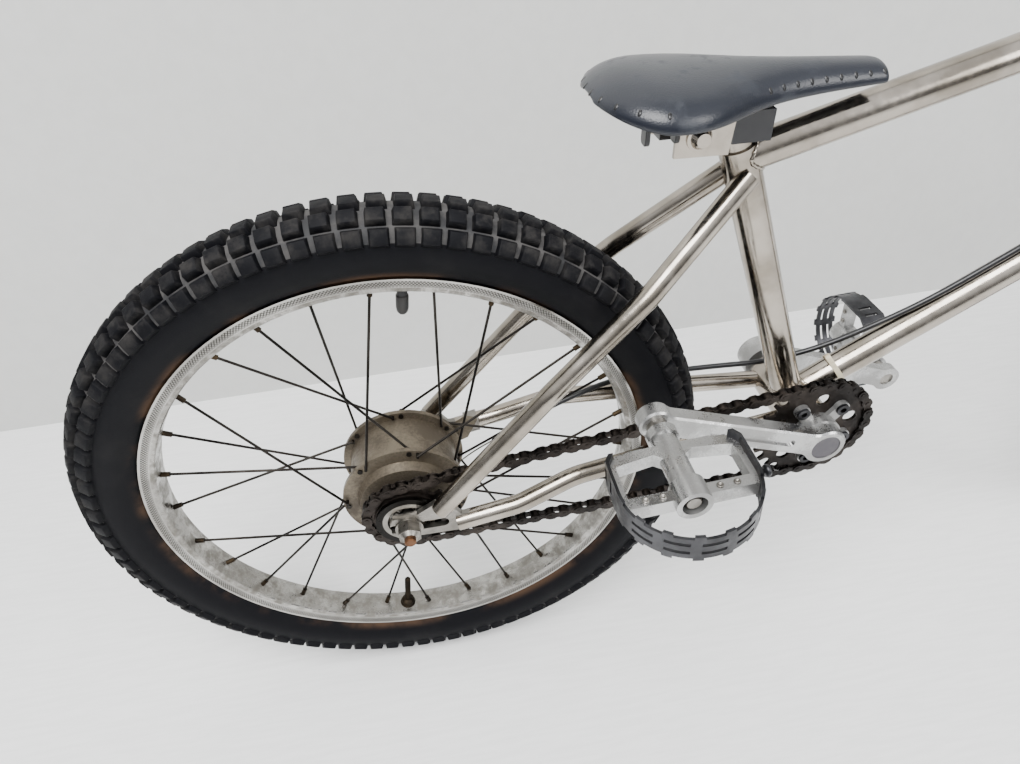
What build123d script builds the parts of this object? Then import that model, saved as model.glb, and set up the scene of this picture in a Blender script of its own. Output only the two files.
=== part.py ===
from build123d import *
import os
from math import asin, atan2, cos, degrees, pi, radians, sin

os.makedirs("parts", exist_ok=True)

# A small-wheeled bicycle in millimetres. X points forward, Y to the rider's left and Z up.
# The origin is on the ground, midway between the two axles.

# ---- Driving dimensions ----
wheelbase = 985
tyre_radius = 262
tyre_width = 56
tyre_wall = 4
tyre_crown = 6
rim_radius = 210
rim_width = 31
rim_depth = 12
rim_wall = 2
rim_well = 2
spoke_count = 28
spoke_radius = 1.1
elbow_radius = 1.4
first_spoke = 50.5
spoke_hole_pair = 8
nipple_radius = 2.1
nipple_length = 12
tube_radius = 22
valve_radius = 3.8
valve_base_radius = 4.4
valve_length = 36
valve_free_length = 18

chain_pitch = 12.7
chain_links = 76
chainring_teeth = 24
cog_teeth = 17
roller_radius = 3.88
chain_inner_width = 3.4
chain_plate = 1.0
chain_line = 44
sprocket_thickness = 2.8

bb_rise = 28
bb_shell_radius = 20
bb_shell_width = 68
crank_length = 162.5
crank_angle = 159.5
crank_face = 68.6
crank_thickness = 12.6
bolt_circle_radius = 30

seat_angle = 69.1
seat_tube_radius = 13
seat_tube_wall = 1.8
seat_tube_length = 258
main_tube_radius = 12.7
main_tube_wall = 1.2
stay_radius = 8
stay_wall = 1.5
head_angle = 71.5
head_tube_length = 125
head_tube_radius = 17
head_tube_bore = 15
fork_length = 328.6
fork_rake = 32

hub_flange_radius = 53.5
hub_hole_radius = 50
hub_flange = 4
right_flange_y = -21
left_flange_y = 25
drum_radius = 47
drum_bore = 42
dropout_y = 55.5
dropout_thickness = 5
axle_radius = 4.75
front_axle_half = 50

saddle_length = 195
saddle_half_width = 60
bar_width = 650
bar_radius = 11.1
cable_radius = 2.5

# ---- Clearances ----
press_gap = 0.02
running_gap = 0.08
body_gap = 0.4

# ---- Derived places ----
rear_axle_point = Vector(-wheelbase / 2, 0, tyre_radius)
front_axle_point = Vector(wheelbase / 2, 0, tyre_radius)
on_end = (Align.CENTER, Align.CENTER, Align.MIN)
rim_inner = rim_radius - rim_depth
ring_path = chainring_teeth * chain_pitch / (2 * pi)
cog_path = cog_teeth * chain_pitch / (2 * pi)
ring_pitch_radius = chain_pitch / (2 * sin(pi / chainring_teeth))
cog_pitch_radius = chain_pitch / (2 * sin(pi / cog_teeth))


def wrapped_links(distance):
    """Links that the chain needs to go round both sprockets this far apart."""
    lean = asin((ring_path - cog_path) / distance)
    wrap = ring_path * (pi + 2 * lean) + cog_path * (pi - 2 * lean)
    return (2 * distance * cos(lean) + wrap) / chain_pitch


centre_distance = chain_links * chain_pitch / 2
for _ in range(30):
    centre_distance += (chain_links - wrapped_links(centre_distance)) * chain_pitch / 2
bb_run = (centre_distance**2 - bb_rise**2) ** 0.5


def from_axle(x, y, z):
    """A point given from the rear axle's middle."""
    return rear_axle_point + Vector(x, y, z)


bb_point = from_axle(bb_run, 0, bb_rise)


def from_bb(x, y, z):
    """A point given from the bottom bracket's middle."""
    return bb_point + Vector(x, y, z)


steer_up = Vector(-cos(radians(head_angle)), 0, sin(radians(head_angle)))
steer_ahead = Vector(sin(radians(head_angle)), 0, cos(radians(head_angle)))
steer_foot = front_axle_point - steer_ahead * fork_rake


def on_steering(up, ahead=0, side=0):
    """A point given along the steering axis, ahead of it and to its left."""
    return steer_foot + steer_up * up + steer_ahead * ahead + Vector(0, side, 0)


def section_plane(centre):
    """A plane for a turned profile: local x is the radius and local y runs along the axle."""
    return Plane(origin=centre, x_dir=(1, 0, 0), z_dir=(0, 0, 1))


def side_plane(centre, y=0):
    """A plane seen from the right of the bicycle: local x is forward and local y is up."""
    return Plane(origin=centre + Vector(0, y, 0), x_dir=(1, 0, 0), z_dir=(0, -1, 0))


def around(centre, angle, radius, y=0):
    """A point on a circle about a wheel or crank axle, with 0 forward and 90 up."""
    turn = radians(angle)
    return centre + Vector(radius * cos(turn), y, radius * sin(turn))


def rod(start, end, radius, mode=Mode.ADD):
    """A straight cylinder from one point to another."""
    start = Vector(start)
    end = Vector(end)
    with Locations(Plane(origin=start, z_dir=end - start)):
        Cylinder(radius, (end - start).length, align=on_end, mode=mode)


def write(piece, node):
    """Labels one node and writes its STEP file."""
    piece.part.label = node
    export_step(piece.part, f"parts/{node}.step")


# ---- Spokes: four families, left and right of the rim, each leaning both ways ----
spoke_step = 360 / spoke_count
spoke_lead = 3 * spoke_step - spoke_hole_pair / 2
valve_angle = first_spoke + 2.5 * spoke_step
families = [
    {"side": 1, "lead": 1, "first": 0, "outer": 1},
    {"side": -1, "lead": -1, "first": 1, "outer": -1},
    {"side": 1, "lead": -1, "first": 2, "outer": -1},
    {"side": -1, "lead": 1, "first": 3, "outer": 1},
]


def stand_off(hub, family):
    """How far a spoke's run lies from its flange's middle: further when it is outside."""
    outside = 1.4 if family["outer"] > 0 else 0
    return hub["flange"] / 2 + elbow_radius + running_gap + outside


def spoke_ends(hub, family):
    """Hub and rim end of each spoke in a family, for a hub with its own flanges."""
    flange_y = hub["left_y"] if family["side"] > 0 else hub["right_y"]
    run_y = flange_y + family["side"] * family["outer"] * stand_off(hub, family)
    ends = []
    for turn in range(spoke_count // 4):
        angle = first_spoke + spoke_step * (family["first"] + 4 * turn)
        hub_angle = angle + family["lead"] * hub["lead"]
        inner = around(hub["axle"], hub_angle, hub["hole_radius"], run_y)
        outer = around(hub["axle"], angle, rim_inner, family["side"] * 1.5)
        ends.append((inner, outer))
    return ends


rear_hub = {
    "axle": rear_axle_point,
    "left_y": left_flange_y,
    "right_y": right_flange_y,
    "flange": hub_flange,
    "hole_radius": hub_hole_radius,
    "lead": spoke_lead,
}
front_hub = {
    "axle": front_axle_point,
    "left_y": 33,
    "right_y": -33,
    "flange": 3,
    "hole_radius": 19,
    "lead": 4 * spoke_step,
}


def make_rim(hub):
    centre = hub["axle"]
    half = rim_width / 2
    foot = half - 2.5
    with BuildPart() as rim:
        with BuildSketch(section_plane(centre)):
            with BuildLine():
                Polyline(
                    (rim_inner, -foot + 1),
                    (rim_inner - 1, 0),
                    (rim_inner, foot - 1),
                    (rim_inner + 1, foot),
                    (rim_radius, half),
                    (rim_radius, half - rim_wall),
                    (rim_inner + rim_well + 1, foot - rim_wall),
                    (rim_inner + rim_well, 0),
                    (rim_inner + rim_well + 1, rim_wall - foot),
                    (rim_radius, rim_wall - half),
                    (rim_radius, -half),
                    (rim_inner + 1, -foot),
                    close=True,
                )
            make_face()
        revolve(axis=Axis(centre, (0, 1, 0)))
        for family in families:
            for inner, outer in spoke_ends(hub, family):
                along = (outer - inner).normalized()
                rod(outer - along * 6, outer + along * 9, nipple_radius + 0.3, Mode.SUBTRACT)
        hole_end = around(centre, valve_angle, rim_radius)
        rod(around(centre, valve_angle, rim_inner - 9), hole_end, valve_base_radius + 0.4, Mode.SUBTRACT)
    return rim


def make_spokes(hub):
    with BuildPart() as spokes:
        for family in families:
            outward = Vector(0, family["side"] * family["outer"], 0)
            ends = spoke_ends(hub, family)
            reach = stand_off(hub, family) + hub["flange"] / 2 + running_gap
            run = (ends[0][1] - ends[0][0]).length + rim_well
            heads = [Plane(origin=inner, z_dir=-outward) for inner, outer in ends]
            with Locations(*[Plane(origin=inner, z_dir=outer - inner) for inner, outer in ends]):
                Cylinder(spoke_radius, run, align=on_end)
            with Locations(*[plane.offset(-elbow_radius) for plane in heads]):
                Cylinder(spoke_radius + 0.15, reach + elbow_radius, align=on_end)
            with Locations(*[plane.offset(reach) for plane in heads]):
                Cylinder(2 * spoke_radius, 1.1, align=on_end)
    return spokes


def make_nipples(hub):
    with BuildPart() as nipples:
        for family in families:
            bores = []
            for inner, outer in spoke_ends(hub, family):
                bores.append(Plane(origin=outer, z_dir=outer - inner))
            with Locations(*[plane.offset(4 - nipple_length) for plane in bores]):
                Cylinder(nipple_radius, nipple_length, align=on_end)
            with Locations(*[plane.offset(4) for plane in bores]):
                Cylinder(nipple_radius + 1, 2, align=on_end)
            with Locations(*[plane.offset(3.9 - nipple_length) for plane in bores]):
                Cylinder(spoke_radius + 0.05, nipple_length - 1, align=on_end, mode=Mode.SUBTRACT)
    return nipples


def make_tyre(hub):
    centre = hub["axle"]
    carcass = tyre_width / 2
    middle = tyre_radius - carcass
    bead = rim_width / 2 - rim_wall - 0.5
    with BuildPart() as tyre:
        with BuildSketch(section_plane(centre)):
            with Locations((middle, 0)):
                Circle(carcass)
            with Locations((tyre_radius - tyre_crown - carcass + tyre_wall, 0)):
                Circle(carcass - tyre_wall, mode=Mode.SUBTRACT)
            with Locations((rim_radius + 0.3, 0)):
                Rectangle(40, 2 * carcass, align=(Align.MAX, Align.CENTER), mode=Mode.SUBTRACT)
            for side in (-1, 1):
                Polygon(
                    (rim_radius - 5.5, side * (bead - 5)),
                    (rim_radius - 5.5, side * (bead - 2.6)),
                    (rim_radius + 0.3, side * bead),
                    (rim_radius + 3, side * (bead + 3)),
                    (rim_radius + 1, side * (bead - 2.6)),
                    align=None,
                )
        revolve(axis=Axis(centre, (0, 1, 0)))
    return tyre


def make_inner_tube(hub):
    centre = hub["axle"]
    middle = tyre_radius - tyre_crown - tube_radius - 1
    with BuildPart() as inner_tube:
        with BuildSketch(section_plane(centre)):
            with Locations((middle, 0)):
                Circle(tube_radius)
                Circle(tube_radius - 1.2, mode=Mode.SUBTRACT)
        revolve(axis=Axis(centre, (0, 1, 0)))
        stem_root = around(centre, valve_angle, middle - tube_radius + 1)
        stem_tip = around(centre, valve_angle, rim_radius - valve_length)
        stem_step = around(centre, valve_angle, rim_radius - valve_length + valve_free_length)
        rod(stem_tip, stem_step, valve_radius)
        rod(stem_step, stem_root, valve_base_radius)
    return inner_tube


def make_spoke_holes(hub):
    """Cuts one hub's spoke holes out of the part being built."""
    for family in families:
        outward = Vector(0, family["side"] * family["outer"], 0)
        holes = [Plane(origin=inner, z_dir=-outward) for inner, outer in spoke_ends(hub, family)]
        with Locations(*holes):
            Cylinder(spoke_radius + 0.4, 2 * hub["flange"] + 4, align=on_end, mode=Mode.SUBTRACT)


race_wall = 1.6


def race_with_balls(centre, y, outer_radius, width, ball_radius, balls):
    """One bearing: an outer race with its ring of balls, about an axle along Y."""
    pitch = outer_radius - race_wall - press_gap - ball_radius
    with Locations(Plane(origin=centre + Vector(0, y, 0), z_dir=(0, 1, 0))):
        Cylinder(outer_radius, width)
        Cylinder(outer_radius - race_wall, width + 2, mode=Mode.SUBTRACT)
        with PolarLocations(pitch, balls):
            Sphere(ball_radius)


# ---- Wheels ----
for end, hub in (("rear", rear_hub), ("front", front_hub)):
    write(make_rim(hub), f"{end}_rim")
    write(make_tyre(hub), f"{end}_tyre")
    write(make_inner_tube(hub), f"{end}_inner_tube")
    write(make_spokes(hub), f"{end}_spokes")
    write(make_nipples(hub), f"{end}_nipples")

# ---- Rear hub: a drum shell with two flanges, open on the left for the brake ----
bearing_seat = 15
bearing_width = 7
boss_radius = 17
boss_end = right_flange_y - 26
sleeve_end = 6
axle_bore = 10
with BuildPart() as rear_hub_shell:
    with BuildSketch(section_plane(rear_axle_point)):
        with BuildLine():
            Polyline(
                (drum_bore, left_flange_y + 3),
                (drum_radius + 1, left_flange_y + 3),
                (drum_radius + 1, left_flange_y + hub_flange / 2),
                (hub_flange_radius, left_flange_y + hub_flange / 2),
                (hub_flange_radius, left_flange_y - hub_flange / 2),
                (drum_radius, left_flange_y - hub_flange / 2),
                (drum_radius, right_flange_y + hub_flange / 2),
                (hub_flange_radius, right_flange_y + hub_flange / 2),
                (hub_flange_radius, right_flange_y - hub_flange / 2),
                (drum_radius - 5.5, right_flange_y - hub_flange / 2),
                (drum_radius - 8, right_flange_y - 10),
                (boss_radius, right_flange_y - 10),
                (boss_radius, boss_end),
                (bearing_seat, boss_end),
                (bearing_seat, boss_end + bearing_width),
                (axle_bore, boss_end + bearing_width),
                (axle_bore, sleeve_end - bearing_width),
                (bearing_seat, sleeve_end - bearing_width),
                (bearing_seat, sleeve_end),
                (bearing_seat + 4, sleeve_end),
                (bearing_seat + 4, right_flange_y + 9),
                (drum_bore, right_flange_y + 9),
                close=True,
            )
        make_face()
    revolve(axis=Axis(rear_axle_point, (0, 1, 0)))
    make_spoke_holes(rear_hub)
write(rear_hub_shell, "rear_hub_shell")

race_radius = bearing_seat - press_gap
ball_radius = 3
race_width = bearing_width - 0.2
left_race_y = sleeve_end - bearing_width / 2
right_race_y = boss_end + bearing_width / 2
with BuildPart() as rear_hub_bearings:
    race_with_balls(rear_axle_point, left_race_y, race_radius, race_width, ball_radius, 9)
    race_with_balls(rear_axle_point, right_race_y, race_radius, race_width, ball_radius, 9)
write(rear_hub_bearings, "rear_hub_bearings")

cone_radius = race_radius - race_wall - press_gap - 2 * ball_radius - body_gap
with BuildPart() as rear_hub_cones:
    for start, end in ((left_race_y - 3, left_race_y + 9), (right_race_y + 3, right_race_y - 8)):
        rod(from_axle(0, start, 0), from_axle(0, end, 0), cone_radius)
    left_spacer = left_race_y + 9
    rod(from_axle(0, left_spacer, 0), from_axle(0, dropout_y - dropout_thickness / 2 - 0.1, 0), 8.5)
    right_spacer = right_race_y - 8
    rod(from_axle(0, right_spacer, 0), from_axle(0, 0.1 - dropout_y + dropout_thickness / 2, 0), 8.5)
    rod(from_axle(0, -80, 0), from_axle(0, 80, 0), axle_radius + press_gap, Mode.SUBTRACT)
write(rear_hub_cones, "rear_hub_cones")

axle_reach = dropout_y + 19
with BuildPart() as rear_axle:
    rod(from_axle(0, -axle_reach, 0), from_axle(0, axle_reach, 0), axle_radius)
    chamfer(rear_axle.edges().filter_by(GeomType.CIRCLE), 1)
write(rear_axle, "rear_axle")


def make_axle_nuts(centre, face, across_corners):
    """A washer and a domed hexagon nut outside each dropout."""
    with BuildPart() as nuts:
        for side in (-1, 1):
            seat = Plane(origin=centre + Vector(0, side * face, 0), z_dir=(0, side, 0))
            with Locations(seat):
                Cylinder(across_corners, 1.6, align=on_end)
            with BuildSketch(seat.offset(1.6)):
                RegularPolygon(across_corners - 1.5, 6)
            extrude(amount=8)
            with Locations(seat.offset(9.6)):
                Cone(across_corners - 3, across_corners - 5.5, 3, align=on_end)
        half = face + 20
        rod(
            centre - Vector(0, half, 0),
            centre + Vector(0, half, 0),
            axle_radius + press_gap,
            Mode.SUBTRACT,
        )
    return nuts


write(make_axle_nuts(rear_axle_point, dropout_y + dropout_thickness / 2, 11.5), "rear_axle_nuts")

# ---- Freewheel and its sprocket ----
freewheel_radius = 24
cog_bore = freewheel_radius + body_gap
with BuildPart() as freewheel_body:
    with Locations(Plane(origin=from_axle(0, boss_end - 5, 0), z_dir=(0, 1, 0))):
        Cylinder(freewheel_radius, 17.5, align=on_end)
        Cylinder(freewheel_radius + 3, 2.6, align=on_end)
        Cylinder(boss_radius + press_gap, 17.5, align=on_end, mode=Mode.SUBTRACT)
write(freewheel_body, "freewheel_body")


def sprocket_sketch(teeth, pitch_radius, first_angle):
    """A toothed disc: round roller seats on the pitch circle with flanks that open outwards."""
    seat = roller_radius + 0.45
    reach = 8
    Circle(pitch_radius + 3.3)
    with PolarLocations(pitch_radius, teeth, start_angle=first_angle):
        Circle(seat, mode=Mode.SUBTRACT)
        valley = [(0, -seat), (reach, -seat - 2.6), (reach, seat + 2.6), (0, seat)]
        Polygon(*valley, align=None, mode=Mode.SUBTRACT)


# ---- Chain route: up over the cog, along the top run, round the chainring and back ----
line_angle = atan2(bb_rise, bb_run)
lean_angle = asin((ring_path - cog_path) / centre_distance)
top_normal = line_angle + pi / 2 + lean_angle
bottom_normal = line_angle - pi / 2 - lean_angle
straight_run = centre_distance * cos(lean_angle)
ring_wrap = ring_path * (pi + 2 * lean_angle)
chain_start = 4.0


def chain_point(distance):
    """A roller's place this far along the chain, from the cog's top tangent point."""
    if distance < straight_run:
        base = around(rear_axle_point, degrees(top_normal), cog_path, -chain_line)
        return base + Vector(cos(top_normal - pi / 2), 0, sin(top_normal - pi / 2)) * distance
    distance -= straight_run
    if distance < ring_wrap:
        return around(bb_point, degrees(top_normal - distance / ring_path), ring_path, -chain_line)
    distance -= ring_wrap
    if distance < straight_run:
        base = around(bb_point, degrees(bottom_normal), ring_path, -chain_line)
        return base + Vector(cos(bottom_normal - pi / 2), 0, sin(bottom_normal - pi / 2)) * distance
    distance -= straight_run
    return around(rear_axle_point, degrees(bottom_normal - distance / cog_path), cog_path, -chain_line)


rollers = [chain_point(chain_start + chain_pitch * link) for link in range(chain_links)]


def seat_angle_near(centre, normal):
    """Angle about a sprocket of the roller that lies closest to a direction."""
    target = around(centre, degrees(normal), ring_path, -chain_line)
    nearest = min(rollers, key=lambda point: (point - target).length)
    offset = nearest - centre
    return degrees(atan2(offset.Z, offset.X))


ring_seat_angle = seat_angle_near(bb_point, line_angle)
cog_seat_angle = seat_angle_near(rear_axle_point, line_angle + pi)

cog_plane = side_plane(rear_axle_point, sprocket_thickness / 2 - chain_line)
with BuildPart() as rear_cog:
    with BuildSketch(cog_plane):
        sprocket_sketch(cog_teeth, cog_pitch_radius, cog_seat_angle)
    extrude(amount=sprocket_thickness)
    with Locations(Plane(origin=from_axle(0, -chain_line, 0), z_dir=(0, 1, 0))):
        Cylinder(cog_bore + 3.4, 9)
        Cylinder(cog_bore, 20, mode=Mode.SUBTRACT)
write(rear_cog, "rear_cog")


def link_places(first):
    """Middle and direction of every second link, from the first one given."""
    places = []
    for index in range(first, chain_links, 2):
        start = rollers[index]
        end = rollers[(index + 1) % chain_links]
        places.append(Plane(origin=(start + end) / 2, x_dir=end - start, z_dir=(0, -1, 0)))
    return places


plate_height = 8.4
inner_plate = chain_inner_width / 2
outer_plate = inner_plate + chain_plate + 0.1
pin_radius = 1.8
half_pitch = chain_pitch / 2
with BuildPart() as inner_link:
    for side in (-1, 1):
        with BuildSketch(Plane.XY.offset(side * (inner_plate + chain_plate / 2))):
            SlotOverall(chain_pitch + plate_height, plate_height)
            with Locations((0, 6.2), (0, -6.2)):
                Circle(3.4, mode=Mode.SUBTRACT)
        extrude(amount=chain_plate / 2, both=True)
    with Locations((half_pitch, 0), (-half_pitch, 0)):
        Cylinder(roller_radius, chain_inner_width)
        Cylinder(pin_radius + 0.1, 20, mode=Mode.SUBTRACT)
with BuildPart() as outer_link:
    for side in (-1, 1):
        with BuildSketch(Plane.XY.offset(side * (outer_plate + chain_plate / 2))):
            SlotOverall(chain_pitch + plate_height, plate_height)
            with Locations((0, 6.2), (0, -6.2)):
                Circle(3.4, mode=Mode.SUBTRACT)
        extrude(amount=chain_plate / 2, both=True)
    with Locations((half_pitch, 0), (-half_pitch, 0)):
        Cylinder(pin_radius, 2 * (outer_plate + chain_plate) + 0.8)

# The links stay loose pieces on their pins, so they are gathered and not fused.
chain_pieces = [inner_link.part.moved(place.location) for place in link_places(0)]
chain_pieces += [outer_link.part.moved(place.location) for place in link_places(1)]
chain = Compound(label="chain", children=chain_pieces)
export_step(chain, "parts/chain.step")

# ---- Bottom bracket ----
cup_flange = 3
bb_bore = bb_shell_radius - 3
spindle_radius = 8.5
with BuildPart() as bottom_bracket_cups:
    for side in (-1, 1):
        face = Plane(origin=from_bb(0, side * bb_shell_width / 2, 0), z_dir=(0, side, 0))
        with Locations(face):
            Cylinder(bb_shell_radius - 1, cup_flange, align=on_end)
        with Locations(face.offset(-14)):
            Cylinder(bb_bore - press_gap, 14, align=on_end)
        with Locations(face.offset(-14)):
            Cylinder(bb_bore - 2.5, 11, align=on_end, mode=Mode.SUBTRACT)
    rod(from_bb(0, -50, 0), from_bb(0, 50, 0), spindle_radius + body_gap, Mode.SUBTRACT)
write(bottom_bracket_cups, "bottom_bracket_cups")

bb_race_y = bb_shell_width / 2 - 10
bb_ball = 1.9
with BuildPart() as bottom_bracket_bearings:
    for side in (-1, 1):
        race_with_balls(bb_point, side * bb_race_y, bb_bore - 2.5 - press_gap, 7, bb_ball, 11)
write(bottom_bracket_bearings, "bottom_bracket_bearings")

square_side = 12.8
spindle_shoulder = 50


def crank_plane(side, angle):
    """Plane on one shoulder of the spindle: local x along the crank, z outwards."""
    along = Vector(cos(radians(angle)), 0, sin(radians(angle)))
    return Plane(origin=from_bb(0, side * spindle_shoulder, 0), x_dir=along, z_dir=(0, side, 0))


with BuildPart() as bottom_bracket_axle:
    rod(from_bb(0, -spindle_shoulder, 0), from_bb(0, spindle_shoulder, 0), spindle_radius)
    for side in (-1, 1):
        with Locations(crank_plane(side, crank_angle)):
            Box(square_side, square_side, crank_face - 6 - spindle_shoulder, align=on_end)
write(bottom_bracket_axle, "bottom_bracket_axle")

# ---- Cranks: one arm each side, half a turn apart ----
crank_boss = 19
crank_eye = 13.5
crank_inner = crank_face - crank_thickness
spider_inner = chain_line + sprocket_thickness / 2
spider_thickness = 4
pedal_thread = 7


def crank_arm(side, angle):
    """One arm with its boss, square socket, long groove and threaded eye."""
    outer = Plane(
        origin=from_bb(0, side * crank_face, 0),
        x_dir=(cos(radians(angle)), 0, sin(radians(angle))),
        z_dir=(0, side, 0),
    )
    with BuildPart() as arm:
        with BuildSketch(outer) as outline:
            Circle(crank_boss - 1.5)
            with Locations((crank_length, 0)):
                Circle(crank_eye)
            Polygon((0, 11.5), (crank_length, 10), (crank_length, -10), (0, -11.5), align=None)
            fillet(outline.vertices().filter_by(lambda corner: abs(corner.Y) > 5), 12)
        extrude(amount=-crank_thickness)
        chamfer(arm.faces().sort_by(Axis.Y)[-1 if side > 0 else 0].edges(), 1.5)
        with BuildSketch(outer):
            with Locations((crank_length * 0.45, 0)):
                SlotOverall(crank_length * 0.5, 7)
        extrude(amount=-2, mode=Mode.SUBTRACT)
        with Locations(outer.offset(-crank_thickness)):
            Cylinder(crank_boss, crank_inner - spider_inner, align=(Align.CENTER, Align.CENTER, Align.MAX))
        with Locations(outer):
            Cylinder(12.4, 5, align=(Align.CENTER, Align.CENTER, Align.MAX), mode=Mode.SUBTRACT)
        with Locations(outer):
            Box(
                square_side + 2 * press_gap,
                square_side + 2 * press_gap,
                crank_face,
                align=(Align.CENTER, Align.CENTER, Align.MAX),
                mode=Mode.SUBTRACT,
            )
        shoulder = from_bb(0, side * (spindle_shoulder + 0.05), 0)
        rod(bb_point, shoulder, spindle_radius + 0.05, Mode.SUBTRACT)
        pedal_eye = around(bb_point, angle, crank_length, side * crank_face)
        rod(pedal_eye, pedal_eye - Vector(0, side * 20, 0), pedal_thread + press_gap, Mode.SUBTRACT)
    return arm



bolt_angles = [crank_angle + 36 + 72 * index for index in range(5)]
bolt_hole = 4.2
spider_face = spider_inner + spider_thickness
right_arm = crank_arm(-1, crank_angle)
with BuildPart() as right_crank:
    add(right_arm)
    with BuildSketch(side_plane(bb_point, -spider_inner)):
        Circle(crank_boss)
        for angle in bolt_angles:
            turn = radians(angle)
            with Locations((bolt_circle_radius * cos(turn), bolt_circle_radius * sin(turn))):
                Circle(6.5)
        with PolarLocations(bolt_circle_radius / 2 + 4, 5, start_angle=bolt_angles[0]):
            Rectangle(bolt_circle_radius - 8, 11)
    extrude(amount=spider_thickness)
    for angle in bolt_angles:
        hole = around(bb_point, angle, bolt_circle_radius)
        rod(hole - Vector(0, 30, 0), hole - Vector(0, spider_face + 1, 0), bolt_hole, Mode.SUBTRACT)
    with Locations(crank_plane(-1, crank_angle)):
        Box(square_side + 2 * press_gap, square_side + 2 * press_gap, 2 * crank_face, mode=Mode.SUBTRACT)
    rod(from_bb(0, 0, 0), from_bb(0, -spindle_shoulder - 0.05, 0), spindle_radius + 0.05, Mode.SUBTRACT)
write(right_crank, "right_crank")
write(crank_arm(1, crank_angle + 180), "left_crank")

with BuildPart() as chainring:
    with BuildSketch(side_plane(bb_point, sprocket_thickness / 2 - chain_line)):
        sprocket_sketch(chainring_teeth, ring_pitch_radius, ring_seat_angle)
        Circle(crank_boss + 0.2, mode=Mode.SUBTRACT)
        with PolarLocations(bolt_circle_radius, 5, start_angle=bolt_angles[0]):
            Circle(bolt_hole, mode=Mode.SUBTRACT)
        with PolarLocations(bolt_circle_radius + 3, 5, start_angle=bolt_angles[0] + 36):
            Circle(6, mode=Mode.SUBTRACT)
    extrude(amount=sprocket_thickness)
write(chainring, "chainring")

with BuildPart() as chainring_bolts:
    for angle in bolt_angles:
        inner = around(bb_point, angle, bolt_circle_radius, sprocket_thickness / 2 - chain_line)
        outer = around(bb_point, angle, bolt_circle_radius, -spider_face)
        rod(inner, outer, bolt_hole - 0.1)
        rod(inner, inner + Vector(0, 1.5, 0), bolt_hole + 1.3)
        rod(outer, outer - Vector(0, 2.2, 0), bolt_hole + 1.3)
        with BuildSketch(side_plane(outer, -2.2)):
            RegularPolygon(2.9, 6)
        extrude(amount=-3, mode=Mode.SUBTRACT)
write(chainring_bolts, "chainring_bolts")

with BuildPart() as crank_caps:
    for side in (-1, 1):
        with Locations(Plane(origin=from_bb(0, side * (crank_face - 4.9), 0), z_dir=(0, side, 0))):
            Cylinder(12.3, 4.2, align=on_end)
write(crank_caps, "crank_caps")

# ---- Pedals: each turns on an axle screwed into its crank ----
pedal_gap = 8
pedal_width = 104
pedal_length = 100
pedal_height = 25
pedal_tilt = 4
barrel_length = 70
sagitta = 49
barrel_radius = 12
pedal_inner = crank_face + pedal_gap
right_eye = around(bb_point, crank_angle, crank_length)
left_eye = around(bb_point, crank_angle + 180, crank_length)
with BuildPart() as pedal_axles:
    for side, eye in ((-1, right_eye), (1, left_eye)):
        rod(eye + Vector(0, side * (crank_face - 11), 0), eye + Vector(0, side * crank_face, 0), pedal_thread)
        rod(eye + Vector(0, side * crank_face, 0), eye + Vector(0, side * (pedal_inner - body_gap), 0), 8.5)
        tip = pedal_inner + barrel_length - 2
        rod(eye + Vector(0, side * crank_face, 0), eye + Vector(0, side * tip, 0), 5)
write(pedal_axles, "pedal_axles")


def pedal_plan(side, eye, tilt):
    """The platform's plane: local x along its length, local y outwards from the crank."""
    ahead = Vector(cos(radians(tilt)), 0, sin(radians(tilt)))
    return Plane(origin=eye, x_dir=ahead, z_dir=ahead.cross(Vector(0, side, 0)))


def platform_outline(grow, mode=Mode.ADD):
    """Half-round platform outline: straight beside the crank, one arc on the outer side."""
    half = pedal_length / 2 + grow
    near = pedal_inner + 14 - grow
    far = pedal_inner + pedal_width + grow
    knee = pedal_inner + pedal_width - sagitta
    with BuildLine() as outline:
        Polyline((half, knee), (half, near + 12), (half - 8, near))
        Line((half - 8, near), (8 - half, near))
        Polyline((8 - half, near), (-half, near + 12), (-half, knee))
        ThreePointArc((-half, knee), (0, far), (half, knee))
    make_face(outline.edges(), mode=mode)


cage_thickness = 2.2
cage_opening = 20
arm_height = 12
rail_width = 7
cross_bar = pedal_inner + barrel_length - 8
arc_radius = (pedal_length**2 / 4 + sagitta**2) / (2 * sagitta)
arc_centre = pedal_inner + pedal_width - arc_radius


def make_pedal_body(side, eye, tilt):
    """A cast barrel with two swept arms at the crank end and a cross bar at the outer end."""
    plan = pedal_plan(side, eye, tilt)
    start = eye + Vector(0, side * pedal_inner, 0)
    outward = Vector(0, side, 0)
    mouth = start + outward * barrel_length
    with BuildPart() as body:
        with BuildSketch(plan):
            for lean in (-1, 1):
                Polygon(
                    (0, pedal_inner + 8),
                    (lean * 14, pedal_inner + 12),
                    (lean * 36, pedal_inner + 18),
                    (lean * 50, pedal_inner + 18),
                    (lean * 50, pedal_inner + 30),
                    (lean * 36, pedal_inner + 27),
                    (lean * 14, pedal_inner + 24),
                    (0, pedal_inner + 36),
                    align=None,
                )
                with Locations((lean * (pedal_length - rail_width) / 2, (pedal_inner + 20 + cross_bar) / 2)):
                    Rectangle(rail_width, cross_bar - pedal_inner - 12)
            with Locations((0, cross_bar)):
                Rectangle(pedal_length, 9)
            platform_outline(-cage_thickness, Mode.INTERSECT)
        extrude(amount=arm_height / 2, both=True)
        rod(start, mouth, barrel_radius - 2)
        rod(start, start + outward * 8, barrel_radius)
        rod(mouth - outward * 18, mouth, barrel_radius + 1)
        rod(start - outward, mouth, 5 + running_gap, Mode.SUBTRACT)
        rod(mouth - outward * 9, mouth, barrel_radius - 3, Mode.SUBTRACT)
    return body


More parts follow.
